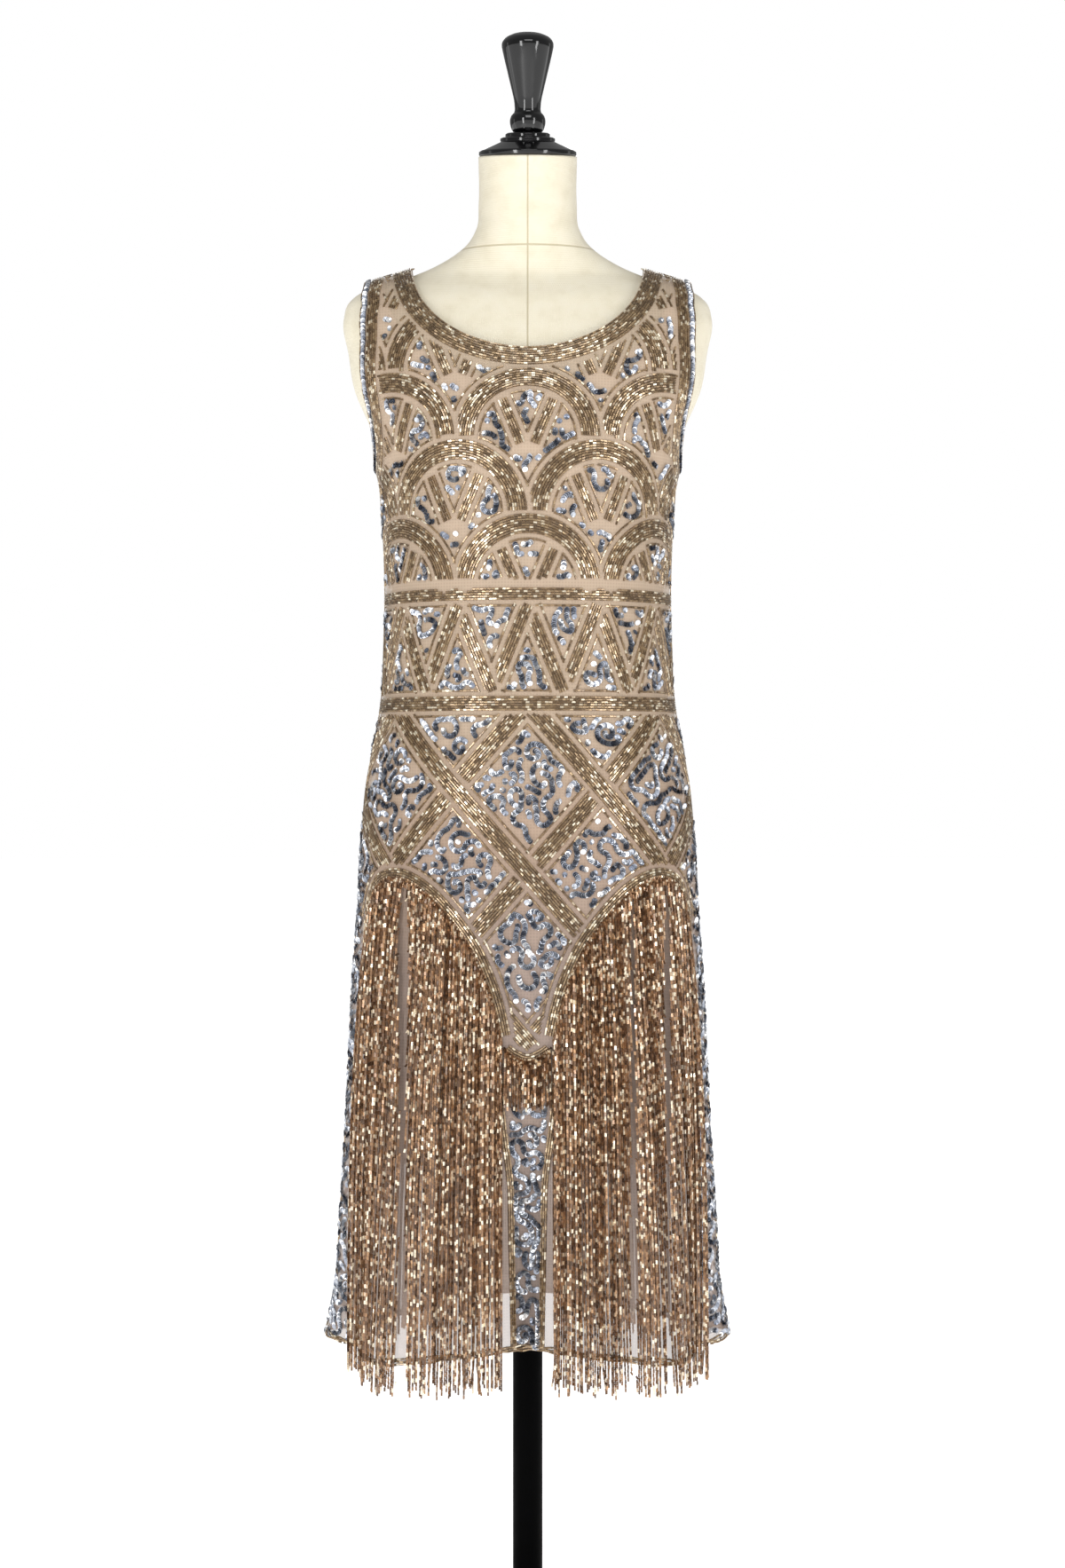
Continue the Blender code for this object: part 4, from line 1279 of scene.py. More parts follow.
    def fill_with_sequins(self, wanted: Callable[[Array], Array]) -> None:
        """Fills what is left with wandering lines of sequins, as vermicelli embroidery does.

        A line walks in steps of the sequins' pitch. Its heading turns at a rate that is drawn anew every 10
        to 19 mm, to either side. It keeps a line's distance from all earlier ones, turning harder where it
        would not, and ends where it can't; the next starts at another free place, drawn at random.
        """
        i, j = np.meshgrid(np.arange(self.flat.CELLS[0]), np.arange(self.flat.CELLS[1]), indexing="ij")
        flat = np.stack([i, j], axis=-1) * self.flat.CELL + self.flat.LOW
        cloth = self.surface.to_cloth(flat)
        ok = ~self.flat.margin & ~self.flat.core & wanted(flat)
        ok &= (np.abs(cloth[..., 0]) < 1).reshape(ok.shape)
        rows = np.argwhere(ok)
        inside = self.on_cloth(cloth[ok])
        ok[tuple(rows[~inside].T)] = False
        blocked = ~ok
        near = self.flat.disc(self.line_gap)
        starts = np.argwhere(ok)
        self.random.shuffle(starts)
        made = 0
        for start in starts:
            if blocked[tuple(start)]:
                continue
            walk = self.wander(start * self.flat.CELL + self.flat.LOW, blocked, near)
            if len(walk) >= self.SHORTEST:
                self.sew_sequin_line(self.surface.to_cloth(np.array(walk)))
                made += 1
        LOG.info("%s: %d wandering lines", self.face.name, made)
        LOG.info("%s: %d sequins, %d beads", self.face.name, self.sequins.count(), self.beads.count())

    def wander(self, at: Array, blocked: Array, near: Array) -> list[Array]:
        """Walks one line of sequins, and blocks the raster beside what it has left behind.

        Args:
            at: where it starts on the flat cloth.
            blocked: the raster of places where no line may go; it is changed.
            near: the offsets of the cells beside a line.

        Returns:
            The flat places of its sequins.
        """
        heading, curl, until = self.random.random() * math.tau, 0.0, 0
        walk = [at]
        for count in range(self.LONGEST):
            if count >= until:
                curl = self.random.choice((-1, 1)) * self.random.uniform(*self.CURL)
                until = count + int(self.random.integers(*self.CURL_STEPS))
            headings = heading + curl + self.TURNS * (1 if curl >= 0 else -1)
            ahead = at + self.sequin_pitch * np.column_stack([np.cos(headings), np.sin(headings)])
            free = ~blocked[self.flat.cell(ahead)]
            if not free.any():
                break
            pick = int(np.argmax(free))
            heading, at = float(headings[pick]), ahead[pick]
            walk.append(at)
            if len(walk) > self.TAIL:
                blocked[self.flat.cell(walk[-self.TAIL] + near)] = True
        for old in walk[-self.TAIL :]:
            blocked[self.flat.cell(old + near)] = True
        return walk


# The gown


@dataclass
class Gown:
    """The net gown: two sheer panels and all that is sewn on them."""

    finishes: Finishes
    rest: float = 0.0058
    columns: int = 60
    neck_columns: int = 44
    rows: tuple[int, int] = (100, 44)
    rounds: int = 1200
    fan_radius: float = 0.075
    fan_base: float = 1.133
    ray_lean: float = 0.40
    # How far down sequins fill the whole cloth, and then only the strips at the centre and the sides
    fill_low: float = 0.625
    strip_low: float = 0.366
    # How far past a level band's middle the next motif may begin
    level: float = 0.010
    # How far in from the edges lie the neck's band, the armholes' beads, sequins and band, and the arches
    neck_inset: float = 0.0106
    arm_insets: tuple[float, float, float] = (0.0014, 0.0052, 0.0150)
    arch_inset: float = 0.0050
    belt_low: float = 1.018
    zigzag: float = 0.0715
    lozenge: tuple[float, float] = (0.150, 0.170)
    flat_front: tuple[float, float, float] = (0.66, 1.12, 0.52)
    flat_back: tuple[float, float, float] = (0.70, 1.12, 0.52)
    surfaces: dict[Face, ClothSurface] = field(default_factory=dict)

    def __post_init__(self) -> None:
        """Works both panels' surfaces out."""
        self.surfaces = {face: ClothSurface(NET_HANG, self.rest, True, face) for face in Face}

    def hem(self, share: Array) -> Array:
        """The hem's height: it dips a little between the centre and the side."""
        return HEM_Z + 0.002 - 0.010 * np.exp(-(((np.abs(share) - 0.60) / 0.22) ** 2))

    @property
    def side_share(self) -> float:
        """The share at which the side's strip of sequins begins, just past the end of the hip arch."""
        return NET_HANG.share_at_x(HIP_ARCH[-1, 1], HIP_ARCH[-1, 0], Face.FRONT) + 0.035

    def make_net(self, face: Face) -> bpy.types.Object:
        """One sheer panel, a single layer through the middle of its solid."""
        surface = self.surfaces[face]
        hem = self.hem(np.linspace(0, 1, self.columns + 1))
        grid = panel_grid(
            face, GOWN_NECK, hem, self.columns, self.neck_columns, self.rows, self.rounds
        )
        share, z = grid[..., 0], grid[..., 1]
        points = surface.place(share, z, 0.0008)
        faces = grid_faces(*grid.shape[:2])
        if face == Face.BACK:
            faces = faces[:, ::-1]
        flat = surface.to_flat(grid).reshape(-1, 2)
        name = f"net_{face.name.lower()}"
        return add_piece(name, points.reshape(-1, 3), faces, self.finishes.net, flat_map=flat)

    @staticmethod
    def path(surface: ClothSurface, points: Array, steps: int) -> Array:
        """A polyline on the flat cloth, made dense and read as share and height."""
        length = np.concatenate([[0], np.cumsum(np.linalg.norm(np.diff(points, axis=0), axis=1))])
        at = np.linspace(0, length[-1], steps)
        dense = np.stack([np.interp(at, length, points[:, k]) for k in (0, 1)], axis=1)
        return surface.to_cloth(dense)

    def arch_line(self, surface: ClothSurface, side: Side, steps: int = 140) -> Array:
        """The hip arch on the cloth, from its inner foot over the crown to the side."""
        t = np.linspace(0, 1, len(HIP_ARCH))
        at = np.linspace(0, 1, steps)
        x, z = hermite(t, HIP_ARCH[:, 0], at), hermite(t, HIP_ARCH[:, 1], at)
        share = np.array([NET_HANG.share_at_x(h, w, surface.face) for w, h in zip(x, z)])
        return np.stack([side * share, z], axis=1)

    def edge_bands(self, work: Beadwork) -> None:
        """The neck's band of eight rows, and the armholes' sequin line and band."""
        surface, face = work.surface, work.face
        neck = GOWN_NECK.edge(face)
        turn = -1 if face == Face.FRONT else 1
        work.add_band(Band(surface.beside(neck, turn * self.neck_inset), 8))
        for side in Side:
            arm = armhole_edge(face, side)
            inward = side * (1 if face == Face.FRONT else -1)
            beads, sequins, band = (surface.beside(arm, inward * inset) for inset in self.arm_insets)
            work.add_band(Band(beads, 1, outlined=False))
            work.sew_sequin_line(sequins)
            work.add_band(Band(band, 5))
            work.flat.stroke(surface.to_flat(arm), 0.010, 0.011)

    def seam_strips(self, work: Beadwork) -> None:
        """A row of beads down each side seam, and two between the fringe and the sequins at the side."""
        surface = work.surface
        z = np.linspace(HEM_Z + 0.004, ARMHOLE_LOW_Z - 0.004, 260)
        reach = np.interp(z, surface.heights, surface.half_length)
        low = z < HIP_ARCH[-1, 1] + 0.004
        for side in Side:
            work.sew_row(np.stack([side * (1 - 0.0016 / reach), z], axis=1))
            line = np.stack([side * np.full_like(z, self.side_share), z], axis=1)[low]
            for k in range(2):
                work.sew_row(surface.beside(line, side * k * work.row_pitch))
            work.flat.stroke(surface.to_flat(line), 0.0040, 0.0072)

    def hip_arches(self, work: Beadwork) -> None:
        """Four rows along each hip arch, over a place that holds nothing but fringe below it."""
        surface = work.surface
        for side in Side:
            arch = self.arch_line(surface, side)
            outward = side * (1 if work.face == Face.FRONT else -1)
            work.add_band(Band(surface.beside(arch, outward * self.arch_inset), 4))
            flat = surface.to_flat(arch)
            for drop in np.arange(0.0, 0.50, 0.008):
                below = flat - [0.0, drop]
                work.flat.stroke(below[below[:, 1] > 0.34], 0.0065, 0.0085)

    def strip_width(self, z: Array) -> Array:
        """Half the width of the centre strip, which opens under the small tier."""
        return 0.0135 + 0.009 * smooth_step(0.52, 0.62, z)

    def centre_strip(self, work: Beadwork) -> None:
        """Below the small tier: a narrow strip of sequins between rows of beads, down to the hem."""
        surface = work.surface
        z = np.linspace(0.368, 0.640, 150)
        width = self.strip_width(z)
        reach = np.interp(z, surface.heights, surface.half_length)
        for side in Side:
            for k in range(3 if work.face == Face.FRONT else 6):
                line = np.stack([side * (width + 0.0030 + k * work.row_pitch) / reach, z], axis=1)
                work.sew_row(line)
            work.flat.stroke(np.stack([side * (width + 0.0062), z], axis=1), 0.0042, 0.0052)

    def tier_band(self, work: Beadwork) -> None:
        """Three rows over the small tier of fringe in the middle."""
        surface = work.surface
        x = np.linspace(TIER_ARCH[0, 0], TIER_ARCH[-1, 0], 60)
        line = surface.to_cloth(np.stack([x, hermite(TIER_ARCH[:, 0], TIER_ARCH[:, 1], x) + 0.0035], axis=1))
        work.add_band(Band(line, 3))
        for drop in np.arange(0.004, 0.052, 0.006):
            work.flat.stroke(surface.to_flat(line) - [0.0, drop], 0.005, 0.008)

    def fans(self, work: Beadwork) -> None:
        """Fans in staggered rows over the bodice, each an arch of eight rows over rays.

        A fan's arch is a half circle of its radius, and the fans of a lower row lie over those above. Its
        rays start below its middle and open to the arch.
        """
        surface, radius = work.surface, self.fan_radius
        hold = work.half_width(8)
        above = self.between(self.fan_base + self.level, math.inf)
        order = 0
        for row in range(5):
            base = self.fan_base + row * radius
            places = np.arange(-3, 4) if row % 2 == 0 else np.arange(-3, 3) + 0.5
            centres = places * 2 * radius
            for middle in centres:
                order += 1
                centre = np.array((middle, base))
                turn = np.linspace(-0.5, 1.5, 170) * math.pi
                arch = centre + (radius - hold) * np.stack([np.cos(turn), np.sin(turn)], axis=1)
                work.add_band(Band(surface.to_cloth(arch), 8, order, keep=above))
                inner = radius - 2 * hold - work.net_gap
                root = centre - [0.0, 0.30 * radius]
                for lean in (-self.ray_lean, self.ray_lean):
                    way = np.array((math.sin(lean), math.cos(lean)))
                    reach = np.linspace(0.24 * radius, inner - 0.0006 + 0.23 * radius, 50)[:, None]
                    work.add_band(Band(surface.to_cloth(root + way * reach), 4, order, keep=above))
                work.cover_disc(centre, radius + work.net_gap, order, self.fan_base)

    def belt(self, work: Beadwork) -> None:
        """Two level bands round the waist with a zigzag between them, over a ground of sequins."""
        surface = work.surface
        top, low, reach = self.fan_base - 0.004, self.belt_low, 0.27
        for level, rows in ((top, 6), (low, 6)):
            work.add_band(Band(self.path(surface, np.array(((-reach, level), (reach, level))), 260), rows))
        step, margin = self.zigzag / 2, 0.0115
        count = int(reach / step) + 1
        x = np.arange(-count, count + 1) * step
        y = np.where(np.arange(-count, count + 1) % 2 == 0, top - margin, low + margin)
        between = self.between(low + margin - 0.003, top - margin + 0.003)
        corners = np.stack([x, y], axis=1)
        for start, end in zip(corners, corners[1:]):
            work.add_band(Band(self.path(surface, np.array((start, end)), 60), 5, keep=between))

    @staticmethod
    def between(low: float, high: float) -> Callable[[Array], Array]:
        """A test for flat places between two levels."""
        return lambda flat: (flat[..., 1] > low) & (flat[..., 1] < high)

    def trellis(self, work: Beadwork) -> None:
        """Crossed bands over the hips that leave lozenges for the sequins, down into the gore."""
        surface = work.surface
        wide, tall = self.lozenge
        top = self.belt_low

        def below(flat: Array) -> Array:
            """Whether places lie below the belt and, low down, between the side strips."""
            between_sides = (flat[..., 1] > 0.800) | (np.abs(flat[..., 0]) < HIP_ARCH[-1, 0])
            return (flat[..., 1] < top - self.level) & between_sides

        for way in (1, -1):
            for k in range(-3, 5):
                start = np.array(((k - 1) * wide if way == 1 else k * wide, top))
                end = start + np.array((way * 2.5 * wide, -2.5 * tall))
                work.add_band(Band(self.path(surface, np.array((start, end)), 420), 7, keep=below))

    def hem_rows(self, work: Beadwork) -> None:
        """Three uneven rows of beads along the hem, 2.2 mm apart."""
        share = np.linspace(-1, 1, 420)
        for k in range(3):
            wander = 0.0006 * np.sin(share * 41 + k) + 0.0004 * np.sin(share * 97 + 2 * k)
            line = np.stack([share, self.hem(share) + 0.0012 + k * 0.0022 + wander], axis=1)
            work.sew_row(line)

    def sew(self, face: Face) -> tuple[bpy.types.Object, bpy.types.Object]:
        """All beadwork of one panel.

        Args:
            face: front or back.

        Returns:
            The beads' piece and the sequins' piece.
        """
        work = Beadwork(self.surfaces[face], face, 11 + face)
        self.edge_bands(work)
        self.seam_strips(work)
        self.hip_arches(work)
        self.tier_band(work)
        self.centre_strip(work)
        self.fans(work)
        self.belt(work)
        self.trellis(work)
        work.sew_outlines()
        self.hem_rows(work)
        surface = work.surface

        def wanted(flat: Array) -> Array:
            """Whether sequins may lie there: above the tier, down the centre strip, and at the sides."""
            across, up = np.abs(flat[..., 0]), flat[..., 1]
            middle = across < self.strip_width(up) + 0.003
            reach = np.interp(up, surface.up_length, surface.half_length)
            inside = across < reach - 0.004
            seam = (across > reach * self.side_share) & inside
            return ((up > self.fill_low) & inside) | ((middle | seam) & (up > self.strip_low))

        work.fill_with_sequins(wanted)
        side = face.name.lower()
        beads = work.beads.make(f"bead_bands_{side}", self.finishes.gilt, Slot.NET, 0.07)
        sequins = work.sequins.make(f"sequins_{side}", self.finishes.sequins, Slot.NET, 0.11, shingle=0.36)
        return beads, sequins

    def build(self) -> dict[Face, list[bpy.types.Object]]:
        """Builds both panels; returns each net with what is sewn on it."""
        made = {}
        for face in Face:
            net = self.make_net(face)
            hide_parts(f"gown_{face.name.lower()}")
            made[face] = [net, *self.sew(face)]
        return made


@dataclass
class Fringe:
    """Free strands of beads from the hip arches and from the small tier."""

    finishes: Finishes
    surfaces: dict[Face, ClothSurface]
    strands: int = 84
    tier_strands: int = 26
    bead_pitch: float = 0.0041
    bead: tuple[float, float] = (0.0038, 0.00117)
    clear: float = 0.0030
    tip_z: float = 0.3335
    tier_tip_z: float = 0.613
    ragged: float = 0.0085
    tier_ragged: float = 0.004
    spread: float = 0.018
    steep_share: float = 0.16
    # A strand's start off the cloth, and how far its elbow lies out and down from there
    lift: float = 0.0022
    elbow_out: float = 0.0018
    elbow_drop: float = 0.0060
    # How far strands sway, which share of them ends loose, after which part and how far, and their twist
    sway: float = 0.0009
    loose: tuple[float, float, float] = (0.10, 0.94, 0.09)
    twist: float = 0.7
    seed: int = 40
    tier_seed: int = 60
    parting_reach: float = 0.018
    # face, side, distance from the centre line, half width
    partings: tuple[tuple[Face, Side, float, float], ...] = (
        (Face.FRONT, Side.LEFT, 0.1255, 0.0056),
        (Face.FRONT, Side.RIGHT, 0.1415, 0.0030),
        (Face.FRONT, Side.RIGHT, 0.1060, 0.0034),
        (Face.BACK, Side.LEFT, 0.1180, 0.0046),
        (Face.BACK, Side.RIGHT, 0.0900, 0.0040),
    )

    def reach(self, surface: ClothSurface, places: Array, outward: Array) -> Array:
        """How far out from places the cloth lies, along level directions.

        The cloth's level section at each height is a line of points. Where the side that a point lies on
        changes from one point to the next, the ray crosses the cloth, and the furthest crossing counts.

        Args:
            surface: the panel.
            places: points, shaped (n, 3).
            outward: level unit directions, shaped (n, 3).

        Returns:
            One distance for each place, or a large negative one where the ray meets nothing.
        """
        shares = np.linspace(-1, 1, 161)
        z = np.clip(places[:, 2], HEM_Z - 0.002, None)
        level = surface.place(*np.broadcast_arrays(shares[None], z[:, None]), 0.0016)
        off = level[..., :2] - places[:, None, :2]
        side = off[..., 0] * outward[:, None, 1] - off[..., 1] * outward[:, None, 0]
        along = off[..., 0] * outward[:, None, 0] + off[..., 1] * outward[:, None, 1]
        crosses = side[:, :-1] * side[:, 1:] <= 0
        part = np.abs(side[:, :-1]) / np.maximum(np.abs(side[:, :-1]) + np.abs(side[:, 1:]), 1e-12)
        at = along[:, :-1] + part * np.diff(along, axis=1)
        return np.where(crosses, at, -1.0).max(axis=1)

    def hang(
        self,
        name: str,
        surface: ClothSurface,
        roots: Array,
        spread: float,
        tip_z: float,
        ragged: float,
        partings: list[tuple[float, float]],
        seed: int,
    ) -> bpy.types.Object:
        """Hangs a strand from each root.

        A strand steps out from its root and falls to its tip, just clear of the folds. It leans out by the
        spread times the square of its place along the arch, most of it early, as 1 - (1 - t)^3. Strands on
        both sides of a parting are pushed apart by a bell curve that grows over their first 60 mm and then
        swells and narrows as a sine.

        Args:
            name: the piece's name.
            surface: the panel.
            roots: the roots on the cloth, as share and height.
            spread: how far the outermost tip leans out.
            tip_z: the tips' mean height.
            ragged: how uneven the tips are.
            partings: distance from the centre line and half width of each parting.
            seed: for the unevenness.

        Returns:
            The fringe's piece.
        """
        random = np.random.default_rng(seed)
        share, z = roots.T
        count = len(roots)
        start = surface.place(share, z, self.lift)
        level = unit(surface.normal(share, z) * [1, 1, 0])
        elbow = start + self.elbow_out * surface.normal(share, z) - [0, 0, self.elbow_drop]
        elbow = elbow + np.maximum(self.reach(surface, elbow, level) + self.clear, 0)[:, None] * level
        lean = spread * (np.abs(elbow[:, 0]) / HIP_ARCH[-1, 0]) ** 2 * np.sign(elbow[:, 0])
        low = tip_z + ragged * random.uniform(-1, 1, count)
        tips = np.column_stack([elbow[:, 0] + lean, elbow[:, 1], low])
        across, deep = tips[:, 0] / FAN_WIDTH**2, elbow[:, 1] / FAN_DEPTH**2
        outward = unit(np.column_stack([across, deep, np.zeros(count)]))
        need = np.zeros(count)
        for along in np.linspace(0.08, 1.0, 20):
            places = elbow + (tips - elbow) * along
            places[:, 0] += lean * (1 - (1 - along) ** 3 - along)
            need = np.maximum(need, (self.reach(surface, places, outward) + self.clear) / along)
        depth = random.uniform(-0.0004, 0.0022, count)
        tips = tips + (need + depth)[:, None] * outward
        length = np.linalg.norm(tips - elbow, axis=1)
        most = int(length.max() / self.bead_pitch)
        at = (np.arange(most)[None] + 0.4) * self.bead_pitch
        part = at / length[:, None]
        places = elbow[:, None] + (tips - elbow)[:, None] * part[..., None]
        places[..., 0] += lean[:, None] * (1 - (1 - np.clip(part, 0, 1)) ** 3 - part)
        sway = random.uniform(0, math.tau, count)[:, None] + part * random.uniform(1.5, 4.0, count)[:, None]
        places[..., 0] += self.sway * np.sin(sway) * part
        loose_share, loose_from, loose_reach = self.loose
        loose = (random.random(count) < loose_share)[:, None] * np.clip(part - loose_from, 0, None)
        places[..., 0] += loose * random.uniform(-loose_reach, loose_reach, count)[:, None]
        for middle, half in partings:
            off = places[..., 0] - middle
            swell = 0.72 + 0.28 * np.sin(at * 13 + middle * 90)
            push = half * np.sign(off) * np.exp(-((off / self.parting_reach) ** 2)) * swell
            places[..., 0] += push * (0.45 + 0.55 * smooth_step(0.0, 0.06, at))
        along_line = unit(np.gradient(places, axis=1))
        twist = random.uniform(-self.twist, self.twist, count)[:, None]
        aside = np.cross(outward, [0.0, 0.0, 1.0])
        facing = np.broadcast_to((np.cos(twist) * outward + np.sin(twist) * aside)[:, None], places.shape)
        shown = part <= 1.0
        scatter = Scatter(Cut.hanging(*self.bead), seed + 1)
        scatter.add(places[shown], along_line[shown], facing[shown])
        heads = np.linspace(0, 1, 4)[:, None, None]
        neck = start[None] * (1 - heads) + elbow[None] * heads
        way = np.broadcast_to(unit(elbow - start), neck.shape)
        level = np.broadcast_to(level, neck.shape)
        scatter.add(neck.reshape(-1, 3), way.reshape(-1, 3), level.reshape(-1, 3))
        return scatter.make(name, self.finishes.copper, Slot.BEADS, 0.06, spin=0.25)

    def build(self, gown: Gown) -> dict[Face, list[bpy.types.Object]]:
        """Hangs all six groups of strands; returns them by the panel that they hang from."""
        made: dict[Face, list[bpy.types.Object]] = {face: [] for face in Face}
        for face, surface in self.surfaces.items():
            for side in Side:
                arch = gown.arch_line(surface, side, 400)
                x = np.abs(surface.place(arch[:, 0], arch[:, 1])[:, 0])
                steps = np.abs(np.diff(x)) + self.steep_share * np.abs(np.diff(arch[:, 1]))
                run = np.concatenate([[0], np.cumsum(steps)])
                at = np.linspace(0, run[-1], self.strands)
                roots = np.stack([np.interp(at, run, arch[:, k]) for k in (0, 1)], axis=1)
                partings = [(s * m, h) for f, s, m, h in self.partings if f == face and s == side]
                name = f"fringe_{face.name}_{side.name}".lower()
                piece = self.hang(
                    f"{name}_strands", surface, roots, self.spread, self.tip_z, self.ragged, partings,
                    self.seed + 3 * face + side,
                )
                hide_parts(name)
                made[face].append(piece)
            x = np.linspace(TIER_ARCH[0, 0], TIER_ARCH[-1, 0], self.tier_strands)
            roots = surface.to_cloth(np.stack([x, hermite(TIER_ARCH[:, 0], TIER_ARCH[:, 1], x)], axis=1))
            name = f"fringe_{face.name}_tier".lower()
            piece = self.hang(
                f"{name}_strands", surface, roots, 0.0, self.tier_tip_z, self.tier_ragged, [],
                self.tier_seed + face,
            )
            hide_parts(name)
            made[face].append(piece)
        return made


@dataclass
class Slip:
    """The plain slip under the net: two panels, whose neckline and hem show through."""

    finishes: Finishes
    rest: float = 0.0024
    columns: int = 44
    neck_columns: int = 34
    rows: tuple[int, int] = (60, 36)
    rounds: int = 600

    def build(self) -> dict[Face, bpy.types.Object]:
        """Builds both panels as single layers through their solids' middles."""
        made = {}
        for face in Face:
            surface = ClothSurface(SLIP_HANG, self.rest, False, face)
            hem = np.full(self.columns + 1, SLIP_HEM_Z)
            grid = panel_grid(
                face, SLIP_NECK, hem, self.columns, self.neck_columns, self.rows, self.rounds
            )
            share, z = grid[..., 0], grid[..., 1]
            ripple = 0.0012 * np.sin(share * 17 + 3 * np.sin(z * 9)) * smooth_step(1.0, 0.6, z)
            points = surface.place(share, z) + (0.0005 + ripple)[..., None] * surface.normal(share, z)
            faces = grid_faces(*grid.shape[:2])
            faces = faces[:, ::-1] if face == Face.BACK else faces
            side = face.name.lower()
            made[face] = add_piece(
                f"slip_{side}_panel", points.reshape(-1, 3), faces, self.finishes.lining,
                flat_map=surface.to_flat(grid).reshape(-1, 2),
            )
            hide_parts(f"slip_{side}")
        return made


# The stand


def rounded(profile: Array, radius: float, steps: int = 5) -> Array:
    """A profile whose corners are cut round: each is a quadratic curve as long as the radius allows."""
    made = [profile[:1]]
    t = np.linspace(0, 1, steps)[:, None]
    for before, corner, after in zip(profile, profile[1:], profile[2:]):
        cut = min(radius, np.linalg.norm(before - corner) * 0.48, np.linalg.norm(after - corner) * 0.48)
        start, end = corner + unit(before - corner) * cut, corner + unit(after - corner) * cut
        made.append((1 - t) ** 2 * start + 2 * t * (1 - t) * corner + t**2 * end)
    return np.concatenate([*made, profile[-1:]])


def turned(profile: Array, steps: int) -> tuple[Array, Array]:
    """A profile carried round the Z axis. Its two ends lie on the axis and close the shape.

    Args:
        profile: radius and height, from the bottom of the axis up the outer side.
        steps: places round the axis.

    Returns:
        Points and faces.
    """
    turn = np.arange(steps) * math.tau / steps
    ring = np.stack([np.cos(turn), np.sin(turn)], axis=1)
    radius, height = np.maximum(profile[:, 0], 1e-5), profile[:, 1]
    flat = radius[:, None, None] * ring
    points = np.concatenate([flat, np.broadcast_to(height[:, None, None], (*flat.shape[:2], 1))], axis=2)
    return points.reshape(-1, 3), grid_faces(len(profile), steps, closed=True)


@dataclass
class DressForm:
    """The limbless form: padded body, neck cap, finial, pole and foot."""

    finishes: Finishes
    steps: int = 144
    turned_steps: int = 96
    lattice_columns: int = 401
    # Heights of the base's rounded rim, and how far in each of them lies
    rim_z: tuple[float, ...] = (0.760, 0.7602, 0.7606)
    rim_shares: tuple[float, ...] = (BASE_EDGE, 0.985, 0.995)
    # The canvas's width is laid out flat on this length
    girth: float = 0.9

    def make_body(self) -> bpy.types.Object:
        """The canvas body: level rings of the form's ovals, whose top leans forward with the neck."""
        z = np.concatenate([self.rim_z, np.linspace(0.7615, 1.40, 95), np.linspace(1.4025, 1.594, 84)])
        turn = 4 * np.arange(self.steps) / self.steps
        quarter, part = turn.astype(int), turn % 1
        share = np.choose(quarter, (part, 1 - part, -part, part - 1))
        ahead = np.isin(quarter, (0, 3))
        last = self.lattice_columns - 1
        shares = np.linspace(-1, 1, self.lattice_columns)
        rings = []
        for face in Face:
            lattice = FORM.lattice(z, shares, face)
            inner = lattice - FORM_INSET * lattice_normals(lattice, face)
            at = (share + 1) / 2 * last
            low = np.clip(at.astype(int), 0, last - 1)
            u = (at - low)[None, :, None]
            rings.append((1 - u) * inner[:, low] + u * inner[:, low + 1])
        points = np.where(ahead[None, :, None], rings[0], rings[1])
        points[..., 2] = z[:, None]
        points[: len(self.rim_z), :, :2] *= np.array(self.rim_shares)[:, None, None]
        lean = smooth_step(NECK_STRAIGHTEN_Z, NECK_TOP_Z, z)[:, None] * math.tan(NECK_TILT)
        points[..., 2] += lean * points[..., 1]
        # Both ends close in a ring so small that it is a point
        caps = [ring.mean(axis=0) + 1e-5 * (ring - ring.mean(axis=0)) for ring in (points[0], points[-1])]
        points = np.array([caps[0], *points, caps[1]])
        length = np.linspace(0, 1, self.steps, endpoint=False) * self.girth
        across = np.abs(length - self.girth / 2)[None]
        flat = np.stack(np.broadcast_arrays(across, points[..., 2]), axis=-1).reshape(-1, 2)
        faces = grid_faces(len(points), self.steps, closed=True)
        made = add_piece(
            "canvas_body", points.reshape(-1, 3), faces, self.finishes.canvas, flat_map=flat
        )
        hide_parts("form_body")
        return made

    def make_head(self, name: str, node: str, profile: Array) -> bpy.types.Object:
        """A lacquered turning on the neck's tilted axis."""
        points, faces = turned(profile, self.turned_steps)
        _, y, z = points.T
        points[:, 1] = y * math.cos(NECK_TILT) - z * math.sin(NECK_TILT)
        points[:, 2] = y * math.sin(NECK_TILT) + z * math.cos(NECK_TILT) + NECK_TOP_Z + SEAT_GAP
        made = add_piece(name, points, faces, self.finishes.lacquer)
        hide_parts(node)
        return made

    def make_stand(self) -> list[bpy.types.Object]:
        """The pole, and the domed foot that it stands in."""
        radii = (0.0, POLE_RADIUS, POLE_RADIUS, 0.0)
        pole = np.column_stack([radii, (POLE_LOW_Z, POLE_LOW_Z, POLE_TOP_Z, POLE_TOP_Z)])
        made = []
        for name, node, profile, radius in (
            ("pole", "stand_pole", pole, 0.0006), ("foot", "stand_foot", FOOT_PROFILE, 0.0030),
        ):
            points, faces = turned(rounded(profile, radius), self.turned_steps)
            piece = add_piece(name, points, faces, self.finishes.enamel)
            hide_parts(node)
            made.append(piece)
        return made

    def build(self) -> list[bpy.types.Object]:
        """Builds the whole form and stand."""
        cap = self.make_head("turned_cap", "neck_cap", rounded(CAP_PROFILE, 0.0006))
        finial = self.make_head("turned_finial", "finial", rounded(FINIAL_PROFILE, 0.02, 6))
        return [self.make_body(), cap, finial, *self.make_stand()]


# The studio


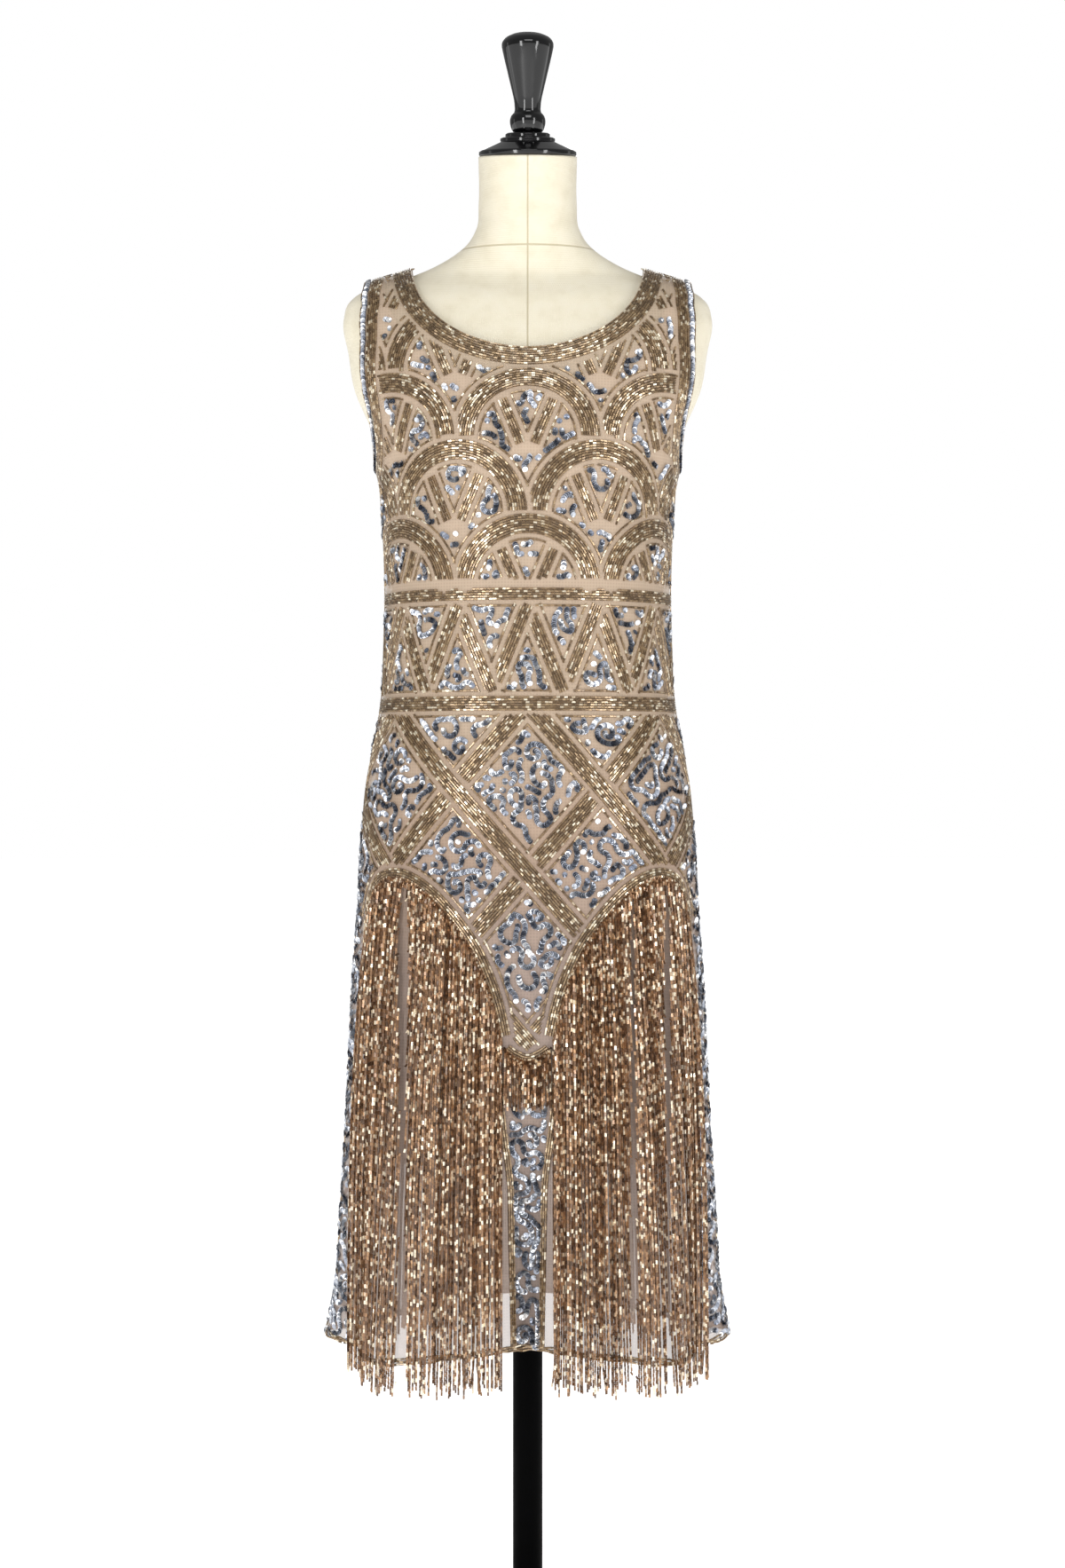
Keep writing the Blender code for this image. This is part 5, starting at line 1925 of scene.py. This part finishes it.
@dataclass
class Studio:
    """Camera, soft lights and a white floor."""

    finishes: Finishes
    eye: tuple[float, float, float] = (0.005, -2.7, 0.937)
    lens: float = 59.14
    white: float = 1.0
    fill: float = 0.28
    aim_z: float = 1.05
    # name, degrees round from the camera's side, distance, height, width and height, watts
    softboxes: tuple[tuple, ...] = (
        ("key_left", -29, 2.9, 1.45, (0.42, 2.4), 29),
        ("key_right", 42, 2.6, 1.40, (0.38, 2.2), 19),
        ("edge_left", -98, 2.2, 1.30, (0.30, 2.0), 1.2),
        ("edge_right", 112, 2.4, 1.30, (0.40, 2.0), 1.5),
        ("top_front", 4, 2.2, 3.0, (1.4, 0.9), 14),
        ("rear", 178, 3.0, 2.2, (1.6, 1.6), 14),
    )

    def place_camera(self) -> None:
        """The camera stands level with the hips and looks straight ahead."""
        camera = bpy.data.cameras.new("camera")
        camera.sensor_width, camera.lens = 36.0, self.lens
        camera.clip_start, camera.clip_end = 0.05, 60.0
        placed = bpy.data.objects.new("camera", camera)
        placed.location = self.eye
        placed.rotation_euler = (math.radians(90), 0, 0)
        bpy.context.scene.collection.objects.link(placed)
        bpy.context.scene.camera = placed

    def add_softbox(
        self,
        name: str,
        azimuth: float,
        distance: float,
        height: float,
        size: tuple[float, float],
        energy: float,
    ) -> None:
        """An upright softbox that faces the gown.

        Args:
            name: the light's name.
            azimuth: degrees round from the camera's side, rising to the right.
            distance: from the form's axis.
            height: of its middle.
            size: width and height.
            energy: watts.
        """
        light = bpy.data.lights.new(name, "AREA")
        light.shape, light.size, light.size_y, light.energy = "RECTANGLE", *size, energy
        placed = bpy.data.objects.new(name, light)
        turn = math.radians(azimuth)
        placed.location = (distance * math.sin(turn), -distance * math.cos(turn), height)
        drop = math.atan2(height - self.aim_z, distance)
        placed.rotation_euler = (math.radians(90) - drop, 0, turn)
        bpy.context.scene.collection.objects.link(placed)

    def light(self) -> None:
        """Tall softboxes at the front left and right, slim ones for the lacquer, and an even white sky."""
        for row in self.softboxes:
            self.add_softbox(*row)
        world = bpy.data.worlds.new("white studio")
        bpy.context.scene.world = world
        world.use_nodes = True
        tree = world.node_tree
        background = tree.nodes["Background"]
        ray = tree.nodes.new("ShaderNodeLightPath")
        level = tree.nodes.new("ShaderNodeMapRange")
        level.inputs["To Min"].default_value = self.fill
        level.inputs["To Max"].default_value = self.white
        tree.links.new(ray.outputs["Is Camera Ray"], level.inputs["Value"])
        tree.links.new(level.outputs["Result"], background.inputs["Strength"])
        background.inputs["Color"].default_value = (1, 1, 1, 1)

    def lay_floor(self) -> None:
        """A round sheet of white paper, wide enough that its edge is lost."""
        radius = np.concatenate([[0.001], np.geomspace(0.4, 30.0, 12)])
        points, faces = turned(np.stack([radius, np.zeros_like(radius)], axis=1), 64)
        points[:, 2] = -0.0005
        mesh = bpy.data.meshes.new("floor")
        mesh.from_pydata(points.tolist(), [], faces[:, ::-1].tolist())
        mesh.materials.append(self.finishes.paper)
        floor = bpy.data.objects.new("floor", mesh)
        bpy.context.scene.collection.objects.link(floor)

    def build(self) -> None:
        """Sets the studio up. The standard view keeps whites white, as the photo's are."""
        self.place_camera()
        self.light()
        self.lay_floor()
        bpy.context.scene.view_settings.view_transform = "Standard"


def main() -> None:
    """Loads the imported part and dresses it."""
    logging.basicConfig(level=logging.INFO, format="%(name)s: %(message)s")
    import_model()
    finishes = Finishes.make()
    Studio(finishes).build()
    form = DressForm(finishes).build()
    LOG.info("form and stand: %d pieces", len(form))
    slips = Slip(finishes).build()
    gown = Gown(finishes)
    panels = gown.build()
    fringe = Fringe(finishes, gown.surfaces).build(gown)


if __name__ == "__main__":
    main()
